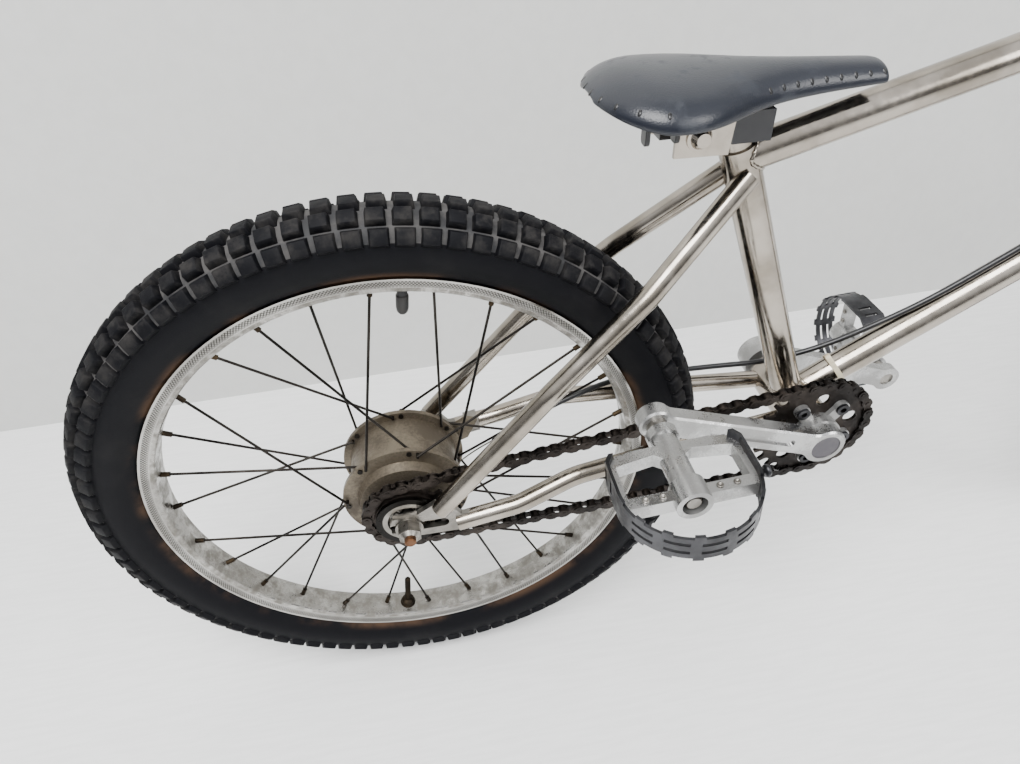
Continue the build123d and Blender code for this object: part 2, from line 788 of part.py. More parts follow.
def make_pedal_cage(side, eye, tilt):
    """A toothed steel band round the platform, with pairs of long slots on its outer side."""
    plan = pedal_plan(side, eye, tilt)
    centre = Plane(plan.from_local_coords(Vector(0, arc_centre, 0)), x_dir=plan.x_dir, z_dir=plan.z_dir)
    with BuildPart() as cage:
        with BuildSketch(plan):
            platform_outline(0)
            platform_outline(-cage_thickness, Mode.SUBTRACT)
            with Locations((0, pedal_inner)):
                Rectangle(2 * pedal_length, 2 * cage_opening, mode=Mode.SUBTRACT)
        extrude(amount=pedal_height / 2, both=True)
        with Locations(centre):
            with PolarLocations(arc_radius, 5, start_angle=34, angular_range=112, endpoint=True):
                with Locations((0, 0, 4), (0, 0, -4)):
                    Box(20, 17, 3, mode=Mode.SUBTRACT)
            with PolarLocations(arc_radius, 7, start_angle=20, angular_range=140, endpoint=True):
                with Locations((0, 0, pedal_height / 2), (0, 0, -pedal_height / 2)):
                    Box(20, 13, 5, mode=Mode.SUBTRACT)
        for lean in (-1, 1):
            for along in (28, 40):
                tooth = plan.from_local_coords(Vector(lean * pedal_length / 2, pedal_inner + along, 0))
                with Locations(Plane(tooth, x_dir=plan.x_dir, z_dir=plan.z_dir)):
                    Box(20, 4, pedal_height - 12, mode=Mode.SUBTRACT)
    return cage


for name, side, eye, tilt in (("right", -1, right_eye, pedal_tilt), ("left", 1, left_eye, 90 + pedal_tilt)):
    write(make_pedal_body(side, eye, tilt), f"{name}_pedal_body")
    write(make_pedal_cage(side, eye, tilt), f"{name}_pedal_cage")

# ---- Main frame tubes, each cut to fit the tube that it meets ----
seat_lean = Vector(-cos(radians(seat_angle)), 0, sin(radians(seat_angle)))
seat_tube_top = bb_point + seat_lean * seat_tube_length
top_tube_start = bb_point + seat_lean * (seat_tube_length - 9)
top_tube_end = on_steering(fork_length + 13 + head_tube_length - 25.8)
down_tube_end = on_steering(fork_length + 13 + 26)
head_bottom = on_steering(fork_length + 13)
head_top = on_steering(fork_length + 13 + head_tube_length)

with BuildPart() as head_tube:
    rod(head_bottom, head_top, head_tube_radius)
    rod(head_bottom, head_top, head_tube_bore, Mode.SUBTRACT)
with BuildPart() as bb_shell:
    rod(from_bb(0, -bb_shell_width / 2, 0), from_bb(0, bb_shell_width / 2, 0), bb_shell_radius)
    rod(from_bb(0, -bb_shell_width / 2, 0), from_bb(0, bb_shell_width / 2, 0), bb_bore, Mode.SUBTRACT)
with BuildPart() as seat_tube:
    rod(bb_point, seat_tube_top, seat_tube_radius)
    rod(bb_point, seat_tube_top, seat_tube_radius - seat_tube_wall, Mode.SUBTRACT)
    rod(from_bb(0, -60, 0), from_bb(0, 60, 0), bb_shell_radius, Mode.SUBTRACT)
with BuildPart() as top_tube:
    rod(top_tube_start, top_tube_end, main_tube_radius)
    rod(top_tube_start, top_tube_end, main_tube_radius - main_tube_wall, Mode.SUBTRACT)
    rod(head_bottom - steer_up * 30, head_top + steer_up * 30, head_tube_radius, Mode.SUBTRACT)
    rod(bb_point, seat_tube_top + seat_lean * 30, seat_tube_radius, Mode.SUBTRACT)
with BuildPart() as down_tube:
    rod(bb_point, down_tube_end, main_tube_radius)
    rod(bb_point, down_tube_end, main_tube_radius - main_tube_wall, Mode.SUBTRACT)
    rod(head_bottom - steer_up * 30, head_top + steer_up * 30, head_tube_radius, Mode.SUBTRACT)
    rod(from_bb(0, -60, 0), from_bb(0, 60, 0), bb_shell_radius, Mode.SUBTRACT)
    rod(bb_point, seat_tube_top, seat_tube_radius, Mode.SUBTRACT)

# The five tubes stay separate solids, so they are gathered and not fused.
front_triangle = Compound(
    label="front_triangle",
    children=[head_tube.part, bb_shell.part, seat_tube.part, top_tube.part, down_tube.part],
)
export_step(front_triangle, "parts/front_triangle.step")

# ---- Rear dropouts: flat plates with a slot that opens backwards ----
dropout_slot = 9.7
with BuildPart() as rear_dropouts:
    for side in (-1, 1):
        with BuildSketch(side_plane(rear_axle_point, side * dropout_y)):
            with BuildLine():
                Polyline(
                    (-15, 5.5),
                    (-12, 12),
                    (8, 14),
                    (24, 24),
                    (36, 18),
                    (44, 6),
                    (56, 5),
                    (56, -8),
                    (40, -13),
                    (-10, -12),
                    (-15, -5.5),
                    close=True,
                )
            make_face()
            with Locations((8, 0)):
                SlotOverall(50, dropout_slot, mode=Mode.SUBTRACT)
        extrude(amount=dropout_thickness / 2, both=True)
write(rear_dropouts, "rear_dropouts")


def stay_route(points, radii, side):
    """One bent stay tube along its route, left or right of the bicycle."""
    stops = [rear_axle_point + Vector(x, side * y, z) for x, y, z in points]
    with BuildPart() as stay:
        with BuildLine() as route:
            FilletPolyline(*stops, radius=radii)
        with BuildSketch(Plane(origin=stops[0], z_dir=stops[1] - stops[0])):
            Circle(stay_radius)
            Circle(stay_radius - stay_wall, mode=Mode.SUBTRACT)
        sweep(path=route.line)
    return stay


seat_stay_top = seat_tube_top - rear_axle_point - seat_lean * 20
seat_stay_points = [
    (27, dropout_y + 2.5, 16),
    (119.5, 53, 118),
    (191.5, 40, 181.8),
    (seat_stay_top.X, 11, seat_stay_top.Z),
]
with BuildPart() as seat_stays:
    for side in (-1, 1):
        add(stay_route(seat_stay_points, [60, 70], side))
    rod(bb_point, seat_tube_top + seat_lean * 30, seat_tube_radius, Mode.SUBTRACT)
    add(rear_dropouts, mode=Mode.SUBTRACT)
    inside = dropout_y - dropout_thickness / 2
    rod(from_axle(0, -inside, 0), from_axle(0, inside, 0), freewheel_radius + 7, Mode.SUBTRACT)
    rod(from_axle(0, -80, 0), from_axle(0, 80, 0), 17, Mode.SUBTRACT)
write(seat_stays, "seat_stays")

chain_stay_points = [(40, 56, -4.5), (92, 56, 5), (140, 50, 22), (bb_run - 80, 34, 27), (bb_run, 25, bb_rise)]
with BuildPart() as chain_stays:
    for side in (-1, 1):
        add(stay_route(chain_stay_points, [60, 60, 150], side))
    rod(from_bb(0, -60, 0), from_bb(0, 60, 0), bb_shell_radius, Mode.SUBTRACT)
    add(rear_dropouts, mode=Mode.SUBTRACT)
    add(seat_stays, mode=Mode.SUBTRACT)
write(chain_stays, "chain_stays")

# ---- Seat: post and clamp block, bent bracket, bolt and moulded saddle ----
post_radius = seat_tube_radius - seat_tube_wall - running_gap
post_length = 150
block = 26
post_top = seat_tube_top + seat_lean * 4
clamp_middle = from_axle(bb_run - 97, 0, 286)
with BuildPart() as seat_post:
    rod(post_top - seat_lean * post_length, post_top + seat_lean * 10, post_radius)
    with Locations(clamp_middle + Vector(4, 0, 2)):
        Box(block, 40, 20)
    with Locations(clamp_middle + Vector(-30, 0, 1)):
        Box(44, 12, 14)
    bolt_middle = clamp_middle + Vector(-32, 0, 0)
    rod(bolt_middle - Vector(0, 50, 0), bolt_middle + Vector(0, 50, 0), 4.1, Mode.SUBTRACT)
write(seat_post, "seat_post")

bracket_half = 23
bracket_wall = 3
with BuildPart() as saddle_bracket:
    for side in (-1, 1):
        with BuildSketch(side_plane(clamp_middle, side * (bracket_half - bracket_wall / 2))):
            with BuildLine():
                Polyline((-48, -12), (-12, -13), (-10, 10), (-4, 14), (-48, 14), close=True)
            make_face()
        extrude(amount=bracket_wall / 2, both=True)
    with Locations(clamp_middle + Vector(-29, 0, 12.5)):
        Box(38, 2 * bracket_half, 3)
    rod(bolt_middle - Vector(0, 50, 0), bolt_middle + Vector(0, 50, 0), 4.1, Mode.SUBTRACT)
write(saddle_bracket, "saddle_bracket")

with BuildPart() as saddle_bolt:
    rod(bolt_middle - Vector(0, bracket_half, 0), bolt_middle + Vector(0, bracket_half, 0), 4)
    for side in (-1, 1):
        face = Plane(origin=bolt_middle + Vector(0, side * bracket_half, 0), z_dir=(0, side, 0))
        with Locations(face):
            Cylinder(9, 1.5, align=on_end)
        with Locations(face.offset(1.5)):
            Cone(7, 4.5, 4.5, align=on_end)
write(saddle_bolt, "saddle_bolt")

saddle_shell = 3.2
saddle_tail = bb_run - 198
saddle_sections = [
    (0.00, 0.36, 318, 311),
    (0.07, 0.80, 324, 307),
    (0.22, 1.00, 326, 303),
    (0.37, 0.84, 325.5, 302),
    (0.51, 0.56, 323.5, 302.5),
    (0.68, 0.36, 321, 303.5),
    (0.85, 0.30, 318.5, 304.5),
    (1.00, 0.27, 316.5, 305),
]


def saddle_section(station, width_share, crown, edge, shell):
    """One crescent slice of the saddle, open underneath."""
    half = saddle_half_width * width_share
    middle = from_axle(saddle_tail + saddle_length * station, 0, 0)
    plane = Plane(origin=middle, x_dir=(0, 1, 0), z_dir=(1, 0, 0))
    with BuildSketch(plane) as slice_sketch:
        with BuildLine():
            ThreePointArc((-half, edge), (0, crown), (half, edge))
            Line((half, edge), (half - shell, edge))
            ThreePointArc((half - shell, edge), (0, crown - shell), (shell - half, edge))
            Line((shell - half, edge), (-half, edge))
        make_face()
    return slice_sketch.sketch


with BuildPart() as saddle:
    loft(sections=[saddle_section(*values, saddle_shell) for values in saddle_sections])
    for side in (-1, 1):
        for lug in (12, 30):
            with Locations(from_axle(saddle_tail + 14 + lug, side * 43, 302)):
                Box(3, 9, 18)
    with Locations(clamp_middle + Vector(-27, 0, 24.75)):
        Box(46, 20, 21.5)
write(saddle, "saddle")

# ---- Fork and headset ----
steerer_radius = 12.7
steerer_bore = 11.1
crown_up = fork_length - 11
race_top = fork_length + 5.8
cup_depth = 7
top_cup_up = fork_length + 13 + head_tube_length
steerer_top = top_cup_up + 28
with BuildPart() as fork_steerer:
    rod(on_steering(crown_up), on_steering(steerer_top), steerer_radius)
    rod(on_steering(fork_length + 2.4), on_steering(race_top), 18)
    rod(on_steering(crown_up), on_steering(steerer_top), steerer_bore, Mode.SUBTRACT)
    rod(on_steering(crown_up, 0, -60), on_steering(crown_up, 0, 60), 13.5, Mode.SUBTRACT)
write(fork_steerer, "fork_steerer")

leg_radius = 11
leg_top_y = 46
leg_foot_y = front_axle_half + 2.5
with BuildPart() as fork_legs:
    rod(on_steering(crown_up, 0, -leg_top_y), on_steering(crown_up, 0, leg_top_y), 13.5)
    for side in (-1, 1):
        top = on_steering(crown_up, 0, side * leg_top_y)
        foot = on_steering(30, 20, side * leg_foot_y)
        with Locations(top):
            Sphere(13.5)
        with Locations(Plane(origin=foot, z_dir=top - foot)):
            Cone(leg_radius - 2.5, leg_radius + 1, (top - foot).length, align=on_end)
        inward = Plane(
            origin=on_steering(0, fork_rake, side * leg_foot_y),
            x_dir=steer_ahead,
            z_dir=Vector(0, -side, 0),
        )
        upward = side
        with BuildSketch(inward):
            with BuildLine():
                Polyline(
                    (-13, upward * -10),
                    (11, upward * -10),
                    (13, upward * 8),
                    (-2, upward * 32),
                    (-20, upward * 44),
                    (-21, upward * 22),
                    close=True,
                )
            make_face()
            with Locations((0, upward * -8)):
                SlotOverall(26, dropout_slot, rotation=90, mode=Mode.SUBTRACT)
        extrude(amount=2.5, both=True)
    inner = front_axle_half
    with Locations(Plane(origin=on_steering(10, fork_rake - 14), z_dir=(0, 1, 0), x_dir=steer_ahead)):
        Box(90, 80, 2 * inner, mode=Mode.SUBTRACT)
write(fork_legs, "fork_legs")

with BuildPart() as headset_cups:
    for start, way in ((fork_length + 13, -1), (top_cup_up, 1)):
        rod(on_steering(start), on_steering(start + way * cup_depth), head_tube_radius + 4)
        rod(on_steering(start), on_steering(start - way * 11), head_tube_bore - press_gap)
        rod(on_steering(start + way * 2.4), on_steering(start + way * cup_depth), 18.4, Mode.SUBTRACT)
    rod(on_steering(fork_length - 20), on_steering(top_cup_up + 40), steerer_radius + body_gap, Mode.SUBTRACT)
write(headset_cups, "headset_cups")

headset_ball = 2.2
with BuildPart() as headset_bearings:
    for up in (fork_length + 13 - 4.6, top_cup_up + 4.6):
        with Locations(Plane(origin=on_steering(up), z_dir=steer_up)):
            Cylinder(18.2, 1.4)
            Cylinder(13.6, 3, mode=Mode.SUBTRACT)
            with PolarLocations(15.9, 18):
                Sphere(headset_ball)
write(headset_bearings, "headset_bearings")

with BuildPart() as headset_nuts:
    rod(on_steering(top_cup_up + 7.3), on_steering(top_cup_up + 15), 18)
    with BuildSketch(Plane(origin=on_steering(top_cup_up + 15), z_dir=steer_up)):
        RegularPolygon(18.5, 6)
    extrude(amount=9)
    rod(on_steering(top_cup_up), on_steering(top_cup_up + 60), steerer_radius + press_gap, Mode.SUBTRACT)
write(headset_nuts, "headset_nuts")

# ---- Stem and handlebar ----
stem_up = steerer_top + 20
stem_reach = 48
quill_radius = steerer_bore - 0.05
with BuildPart() as stem:
    rod(on_steering(top_cup_up - 60), on_steering(stem_up), quill_radius)
    with BuildSketch(Plane(origin=on_steering(stem_up - 15), x_dir=steer_ahead, z_dir=steer_up)):
        with Locations((stem_reach / 2, 0)):
            RectangleRounded(stem_reach + 34, 46, 9)
    extrude(amount=32)
    with Locations(Plane(origin=on_steering(stem_up + 17), z_dir=steer_up)):
        Cylinder(6, 4, align=on_end)
    clamp_point = on_steering(stem_up + 1, stem_reach)
    rod(clamp_point - Vector(0, 60, 0), clamp_point + Vector(0, 60, 0), bar_radius + press_gap, Mode.SUBTRACT)
    for side in (-1, 1):
        for along in (-15, 15):
            bolt_top = on_steering(stem_up + 17, stem_reach + along, side * 15)
            rod(bolt_top, bolt_top + steer_up * 3, 4)
write(stem, "stem")

bar_rise = 190
bar_points = [
    on_steering(stem_up + 1 + bar_rise + 12, stem_reach - 28, -bar_width / 2),
    on_steering(stem_up + 1 + bar_rise, stem_reach - 6, -bar_width * 0.27),
    on_steering(stem_up + 1, stem_reach, -bar_width * 0.115),
    on_steering(stem_up + 1, stem_reach, bar_width * 0.115),
    on_steering(stem_up + 1 + bar_rise, stem_reach - 6, bar_width * 0.27),
    on_steering(stem_up + 1 + bar_rise + 12, stem_reach - 28, bar_width / 2),
]
with BuildPart() as handlebar:
    with BuildLine() as bar_route:
        FilletPolyline(*bar_points, radius=48)
    with BuildSketch(Plane(origin=bar_points[0], z_dir=bar_points[1] - bar_points[0])):
        Circle(bar_radius)
    sweep(path=bar_route.line)
    brace = 0.74
    brace_start = bar_points[2] + (bar_points[1] - bar_points[2]) * brace
    brace_end = bar_points[3] + (bar_points[4] - bar_points[3]) * brace
    rod(brace_start, brace_end, 8)
write(handlebar, "handlebar")

grip_length = 96
grip_radius = 16
with BuildPart() as grips:
    for tip, knee in ((bar_points[0], bar_points[1]), (bar_points[5], bar_points[4])):
        inward = (knee - tip).normalized()
        rod(tip - inward * 3, tip + inward * grip_length, grip_radius)
        rod(tip + inward * (grip_length - 4), tip + inward * grip_length, grip_radius + 5)
        rod(tip, tip + inward * (grip_length + 5), bar_radius + press_gap, Mode.SUBTRACT)
write(grips, "grips")

# ---- Front axle ----
with BuildPart() as front_hub_shell:
    flange_reach = front_hub["left_y"] + front_hub["flange"] / 2
    rod(front_axle_point - Vector(0, 38, 0), front_axle_point + Vector(0, 38, 0), 14)
    for side in (-1, 1):
        inner_face = front_axle_point + Vector(0, side * (flange_reach - front_hub["flange"]), 0)
        rod(inner_face, inner_face + Vector(0, side * front_hub["flange"], 0), front_hub["hole_radius"] + 4)
    rod(front_axle_point - Vector(0, 60, 0), front_axle_point + Vector(0, 60, 0), 8, Mode.SUBTRACT)
    for side in (-1, 1):
        mouth = front_axle_point + Vector(0, side * 38, 0)
        rod(mouth, mouth - Vector(0, side * 9, 0), 12.5, Mode.SUBTRACT)
    make_spoke_holes(front_hub)
write(front_hub_shell, "front_hub_shell")

front_ball = 2.2
front_race_radius = 12.5 - press_gap
front_cone_radius = front_race_radius - race_wall - press_gap - 2 * front_ball - body_gap
with BuildPart() as front_axle:
    rod(front_axle_point - Vector(0, 68, 0), front_axle_point + Vector(0, 68, 0), axle_radius)
    for side in (-1, 1):
        cone_start = front_axle_point + Vector(0, side * 30, 0)
        rod(cone_start, front_axle_point + Vector(0, side * (front_axle_half - 0.1), 0), front_cone_radius)
write(front_axle, "front_axle")
with BuildPart() as front_hub_bearings:
    for side in (-1, 1):
        race_with_balls(front_axle_point, side * 33.5, front_race_radius, 8.6, front_ball, 10)
write(front_hub_bearings, "front_hub_bearings")
write(make_axle_nuts(front_axle_point, front_axle_half + 5, 10.5), "front_axle_nuts")

# ---- Rear drum brake: plate with its arm on the left, shoes inside, and a cam with a lever ----
plate_y = left_flange_y + 3 + body_gap
plate_thickness = 4
cam_point = from_axle(24, 0, -20)
with BuildPart() as brake_plate:
    rod(from_axle(0, plate_y, 0), from_axle(0, plate_y + plate_thickness, 0), drum_radius + 1)
    rod(from_axle(0, plate_y + plate_thickness, 0), from_axle(0, plate_y + 9, 0), 20)
    with BuildSketch(side_plane(rear_axle_point, plate_y + 9)):
        with BuildLine():
            Polyline((-14, -12), (30, -9), (60, 2), (70, 22), (60, 26), (40, 14), (-14, 14), close=True)
        make_face()
    extrude(amount=4)
    rod(from_axle(0, 0, 0), from_axle(0, 60, 0), 8.5 + press_gap, Mode.SUBTRACT)
    rod(cam_point, cam_point + Vector(0, 60, 0), 5 + running_gap, Mode.SUBTRACT)
write(brake_plate, "brake_plate")

shoe_radius = drum_bore - 0.8
with BuildPart() as brake_shoes:
    with BuildSketch(side_plane(rear_axle_point, plate_y - 1)):
        Circle(shoe_radius)
        Circle(shoe_radius - 9, mode=Mode.SUBTRACT)
        with Locations(Location((0, 0), -40)):
            Rectangle(100, 19, mode=Mode.SUBTRACT)
    extrude(amount=20)
write(brake_shoes, "brake_shoes")

cam_arm_y = plate_y + 16
with BuildPart() as brake_cam_arm:
    rod(cam_point + Vector(0, plate_y - 14, 0), cam_point + Vector(0, cam_arm_y + 7, 0), 5)
    with BuildSketch(side_plane(cam_point, cam_arm_y + 4)):
        Circle(8.5)
        with Locations((14, -32)):
            Circle(6)
        make_hull()
        with Locations((14, -32)):
            Circle(2.6, mode=Mode.SUBTRACT)
    extrude(amount=4)
write(brake_cam_arm, "brake_cam_arm")

clip_start = Vector(chain_stay_points[0][0], chain_stay_points[0][1], chain_stay_points[0][2])
clip_run = Vector(chain_stay_points[1][0], chain_stay_points[1][1], chain_stay_points[1][2]) - clip_start
clip_middle = rear_axle_point + clip_start + clip_run * 0.5
with BuildPart() as brake_arm_clip:
    with Locations(Plane(origin=clip_middle, z_dir=clip_run)):
        Cylinder(stay_radius + 2.2, 12)
        Cylinder(stay_radius + 0.3, 14, mode=Mode.SUBTRACT)
    tab_start = plate_y + 9.05
    tab_length = clip_start.Y - 5.5 - tab_start
    tab_corner = Vector(clip_middle.X, tab_start, clip_middle.Z + 10.5)
    with Locations(Plane(origin=tab_corner, x_dir=(1, 0, 0), z_dir=(0, 1, 0))):
        Box(12, 4, tab_length, align=on_end)
write(brake_arm_clip, "brake_arm_clip")

# ---- Brake lever on the right end of the bar: clamp and blade, hinged to close on the grip ----
lever_bar = (bar_points[0] - bar_points[1]).normalized()
lever_seat = bar_points[0] - lever_bar * (grip_length + 12)
lever_ahead = (steer_ahead - lever_bar * steer_ahead.dot(lever_bar)).normalized()
lever_axis = lever_bar.cross(lever_ahead)
lever_pivot = lever_seat + lever_ahead * 27
fork_gap = 5
with BuildPart() as brake_lever_perch:
    with Locations(Plane(origin=lever_seat, z_dir=lever_bar)):
        Cylinder(bar_radius + 3.5, 14)
    with Locations(Plane(origin=lever_seat, x_dir=lever_ahead, z_dir=lever_bar)):
        Box(32, 2 * fork_gap + 6, 13, align=(Align.MIN, Align.CENTER, Align.CENTER))
        with Locations((17, 0)):
            Box(34, 2 * fork_gap, 40, align=(Align.MIN, Align.CENTER, Align.CENTER), mode=Mode.SUBTRACT)
    rod(lever_seat - lever_bar * 40, lever_seat + lever_bar * 40, bar_radius + press_gap, Mode.SUBTRACT)
    rod(lever_pivot - lever_axis * 9, lever_pivot + lever_axis * 9, 2.5)
write(brake_lever_perch, "brake_lever_perch")

lever_reach = 105
with BuildPart() as brake_lever:
    with BuildSketch(Plane(origin=lever_pivot, x_dir=lever_bar, z_dir=lever_axis)):
        Circle(6.5)
        Polygon(
            (-4, 6),
            (14, 26),
            (lever_reach, 30),
            (lever_reach + 6, 24),
            (lever_reach, 20),
            (22, 15),
            (6, -5),
            align=None,
        )
    extrude(amount=fork_gap - body_gap, both=True)
    rod(lever_pivot - lever_axis * 9, lever_pivot + lever_axis * 9, 2.5 + running_gap, Mode.SUBTRACT)
write(brake_lever, "brake_lever")

# ---- Brake cable: along the down tube and the left chain stay, with a loop up to the lever ----
down_dir = (down_tube_end - bb_point).normalized()
down_normal = Vector(-down_dir.Z, 0, down_dir.X)
cable_lift = main_tube_radius + cable_radius + 0.1


def beside_down_tube(along, side=0):
    """A point of the cable's middle on top of the down tube, this far from the bottom bracket."""
    return bb_point + down_dir * along + down_normal * cable_lift + Vector(0, side, 0)


cable_join = beside_down_tube(440)
cable_stops = [
    cable_join,
    beside_down_tube(130),
    beside_down_tube(50, 14),
    from_bb(-12, 24, 22),
    from_bb(-70, 37, 15),
    from_axle(200, 42, 40),
    from_axle(150, 37, 27),
    from_axle(112, 37, 8),
    from_axle(84, 40, -14),
]


def corner_radii(points):
    """The widest arc that each corner's shorter run allows."""
    radii = []
    for before, corner, after in zip(points, points[1:], points[2:]):
        into = corner - before
        out = after - corner
        turn = radians(into.get_angle(out))
        radii.append(0.45 * min(into.length, out.length) / (sin(turn / 2) / cos(turn / 2)))
    return radii


def make_cable(stops):
    """A sheathed cable: straight runs joined by the widest arcs they allow."""
    with BuildPart() as cable:
        with BuildLine() as route:
            FilletPolyline(*stops, radius=corner_radii(stops))
        with BuildSketch(Plane(origin=stops[0], z_dir=stops[1] - stops[0])):
            Circle(cable_radius)
        sweep(path=route.line)
    section = pi * cable_radius**2
    route_length = sum(edge.length for edge in route.edges())
    print("cable volume over section times length", cable.part.volume / (section * route_length))
    print("cable arc radii", [round(value) for value in corner_radii(stops)])
    return cable


brake_cable = make_cable(cable_stops)
write(brake_cable, "brake_cable")

loop_stops = [
    lever_seat + lever_ahead * 26 - lever_bar * 7,
    lever_seat + lever_ahead * 34 - lever_bar * 75,
    on_steering(stem_up + 120, stem_reach + 72, -30),
    on_steering(stem_up + 40, stem_reach + 92, 18),
    on_steering(stem_up - 60, stem_reach + 62, 42),
    on_steering(stem_up - 135, 6, 52),
    cable_join + down_dir * 60,
    cable_join,
]
brake_cable_loop = make_cable(loop_stops)
write(brake_cable_loop, "brake_cable_loop")

with BuildPart() as cable_ties:
    for along in (45, 250, 400):
        with BuildSketch(Plane(origin=bb_point + down_dir * along, x_dir=(0, 1, 0), z_dir=down_dir)):
            Circle(main_tube_radius + 1.3)
            with Locations((0, cable_lift)):
                Circle(cable_radius + 1.3)
            make_hull()
            Circle(main_tube_radius + press_gap, mode=Mode.SUBTRACT)
            with Locations((0, cable_lift)):
                Circle(cable_radius + press_gap, mode=Mode.SUBTRACT)
        extrude(amount=2.2, both=True)
write(cable_ties, "cable_ties")
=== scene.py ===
# %% [markdown]
# # A small folding bicycle with knobbly tyres
#
# The bicycle's tubes, wheels, chain and pedals come from a CAD model, and this lesson dresses them.
# It gives every surface its own finish, builds the tyres' tread block by block, and adds what a
# workshop would fit last: weld beads, valve caps, cables and lacing holes.

# %% [markdown]
# ## Loading the CAD model
#
# The model arrives in metres, with X forward, Y to the rider's left and Z up. Nothing in it is
# moved or reshaped.
# A piece that needs more detail than the CAD gives is built again over the same place.

import math

import bmesh
import bpy
from mathutils import Matrix, Vector
from mathutils.bvhtree import BVHTree


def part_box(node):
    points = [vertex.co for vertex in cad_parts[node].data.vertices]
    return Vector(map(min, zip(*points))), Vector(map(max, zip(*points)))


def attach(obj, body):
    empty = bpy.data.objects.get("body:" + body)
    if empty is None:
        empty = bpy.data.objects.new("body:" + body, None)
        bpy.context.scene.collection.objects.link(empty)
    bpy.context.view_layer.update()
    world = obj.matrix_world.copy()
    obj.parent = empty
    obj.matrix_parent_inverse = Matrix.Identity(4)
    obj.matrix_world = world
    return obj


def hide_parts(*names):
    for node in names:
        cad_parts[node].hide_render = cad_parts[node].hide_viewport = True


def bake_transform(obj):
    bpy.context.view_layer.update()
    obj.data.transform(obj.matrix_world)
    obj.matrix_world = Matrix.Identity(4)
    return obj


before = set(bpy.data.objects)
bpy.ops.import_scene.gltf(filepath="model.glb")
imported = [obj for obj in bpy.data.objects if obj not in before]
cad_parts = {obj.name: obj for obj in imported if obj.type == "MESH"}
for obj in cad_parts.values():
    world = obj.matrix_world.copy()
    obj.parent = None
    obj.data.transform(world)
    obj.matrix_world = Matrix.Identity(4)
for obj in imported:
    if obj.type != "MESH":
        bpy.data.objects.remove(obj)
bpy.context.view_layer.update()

# %% [markdown]
# ## Places to work from
#
# Each wheel's middle is the middle of its tyre, and the tyre's radius is half its height. The
# bottom bracket's middle comes from its axle in the same way. Taking these from the model keeps
# the added pieces in step with it if a size changes.

# %% Find the wheels and the bottom bracket


def middle_of(node):
    """The middle of a CAD node's box."""
    low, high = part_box(node)
    return (Vector(low) + Vector(high)) / 2


def size_of(node):
    """The size of a CAD node's box along each axis."""
    low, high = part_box(node)
    return Vector(high) - Vector(low)


rear_axle = middle_of("rear_tyre")
front_axle = middle_of("front_tyre")
bottom_bracket = middle_of("bottom_bracket_axle")
tyre_radius = size_of("rear_tyre").z / 2
rim_radius = size_of("rear_rim").z / 2
print("wheels at", rear_axle, front_axle, "tyre radius", tyre_radius, "rim radius", rim_radius)

# %% [markdown]
# ## The camera
#
# The bicycle is seen from behind its rear wheel, from the right and from above, through a fairly
# wide lens. The camera stands close, so the rear wheel looks large beside the far handlebar. Its
# depth of field stays off.

# %% Set up the camera
lens = bpy.data.cameras.new("camera")
lens.lens = 24
lens.sensor_width = 36
lens.clip_start = 0.02
camera = bpy.data.objects.new("camera", lens)
camera.location = (-0.45043, -0.41560, 0.71263)
camera.rotation_euler = [math.radians(turn) for turn in (49.298, 2.446, -9.733)]
bpy.context.collection.objects.link(camera)
bpy.context.scene.camera = camera
print("camera looks from", tuple(camera.location))

# %% [markdown]
# ## Building a finish from nodes
#
# A finish is a material whose colour, gloss and small bumps come from patterns computed on the
# surface. The patterns use the piece's own coordinates in metres, so a scratch has its real size
# and stays on the piece when the piece moves. These helpers each add one pattern or one step, and
# every finish below is made from them.

# %% Helpers for finishes


def start_finish(name):
    """A new material, its node tree and its shader."""
    finish = bpy.data.materials.new(name)
    finish.use_nodes = True
    return finish, finish.node_tree, finish.node_tree.nodes["Principled BSDF"]


def own_place(tree, centre=(0, 0, 0), stretch=(1, 1, 1)):
    """Places on the piece in metres, counted from a centre and stretched along each axis."""
    coordinates = tree.nodes.new("ShaderNodeTexCoord")
    mapping = tree.nodes.new("ShaderNodeMapping")
    mapping.vector_type = "POINT"
    mapping.inputs["Scale"].default_value = stretch
    mapping.inputs["Location"].default_value = [-c * s for c, s in zip(centre, stretch)]
    tree.links.new(coordinates.outputs["Object"], mapping.inputs["Vector"])
    return mapping.outputs["Vector"]


def clouds(tree, place, size, detail=4.0, harshness=0.55):
    """Random patches about this many metres across, from 0 to 1."""
    noise = tree.nodes.new("ShaderNodeTexNoise")
    noise.inputs["Scale"].default_value = 1 / size
    noise.inputs["Detail"].default_value = detail
    noise.inputs["Roughness"].default_value = harshness
    tree.links.new(place, noise.inputs["Vector"])
    return noise.outputs["Fac"]


def cells(tree, place, size):
    """Distance to the nearest of many scattered points this many metres apart."""
    voronoi = tree.nodes.new("ShaderNodeTexVoronoi")
    voronoi.inputs["Scale"].default_value = 1 / size
    tree.links.new(place, voronoi.inputs["Vector"])
    return voronoi.outputs["Distance"]


def rise(tree, value, start, end, low=0.0, high=1.0):
    """Goes smoothly from low to high while the value goes from start to end."""
    node = tree.nodes.new("ShaderNodeMapRange")
    node.interpolation_type = "SMOOTHSTEP"
    node.inputs["From Min"].default_value = start
    node.inputs["From Max"].default_value = end
    node.inputs["To Min"].default_value = low
    node.inputs["To Max"].default_value = high
    tree.links.new(value, node.inputs["Value"])
    return node.outputs["Result"]


def work_out(tree, operation, first, second=0.0):
    """One sum on two values, each a number or another node's output."""
    node = tree.nodes.new("ShaderNodeMath")
    node.operation = operation
    for socket, value in zip(node.inputs, (first, second)):
        if isinstance(value, (int, float)):
            socket.default_value = value
        else:
            tree.links.new(value, socket)
    return node.outputs["Value"]


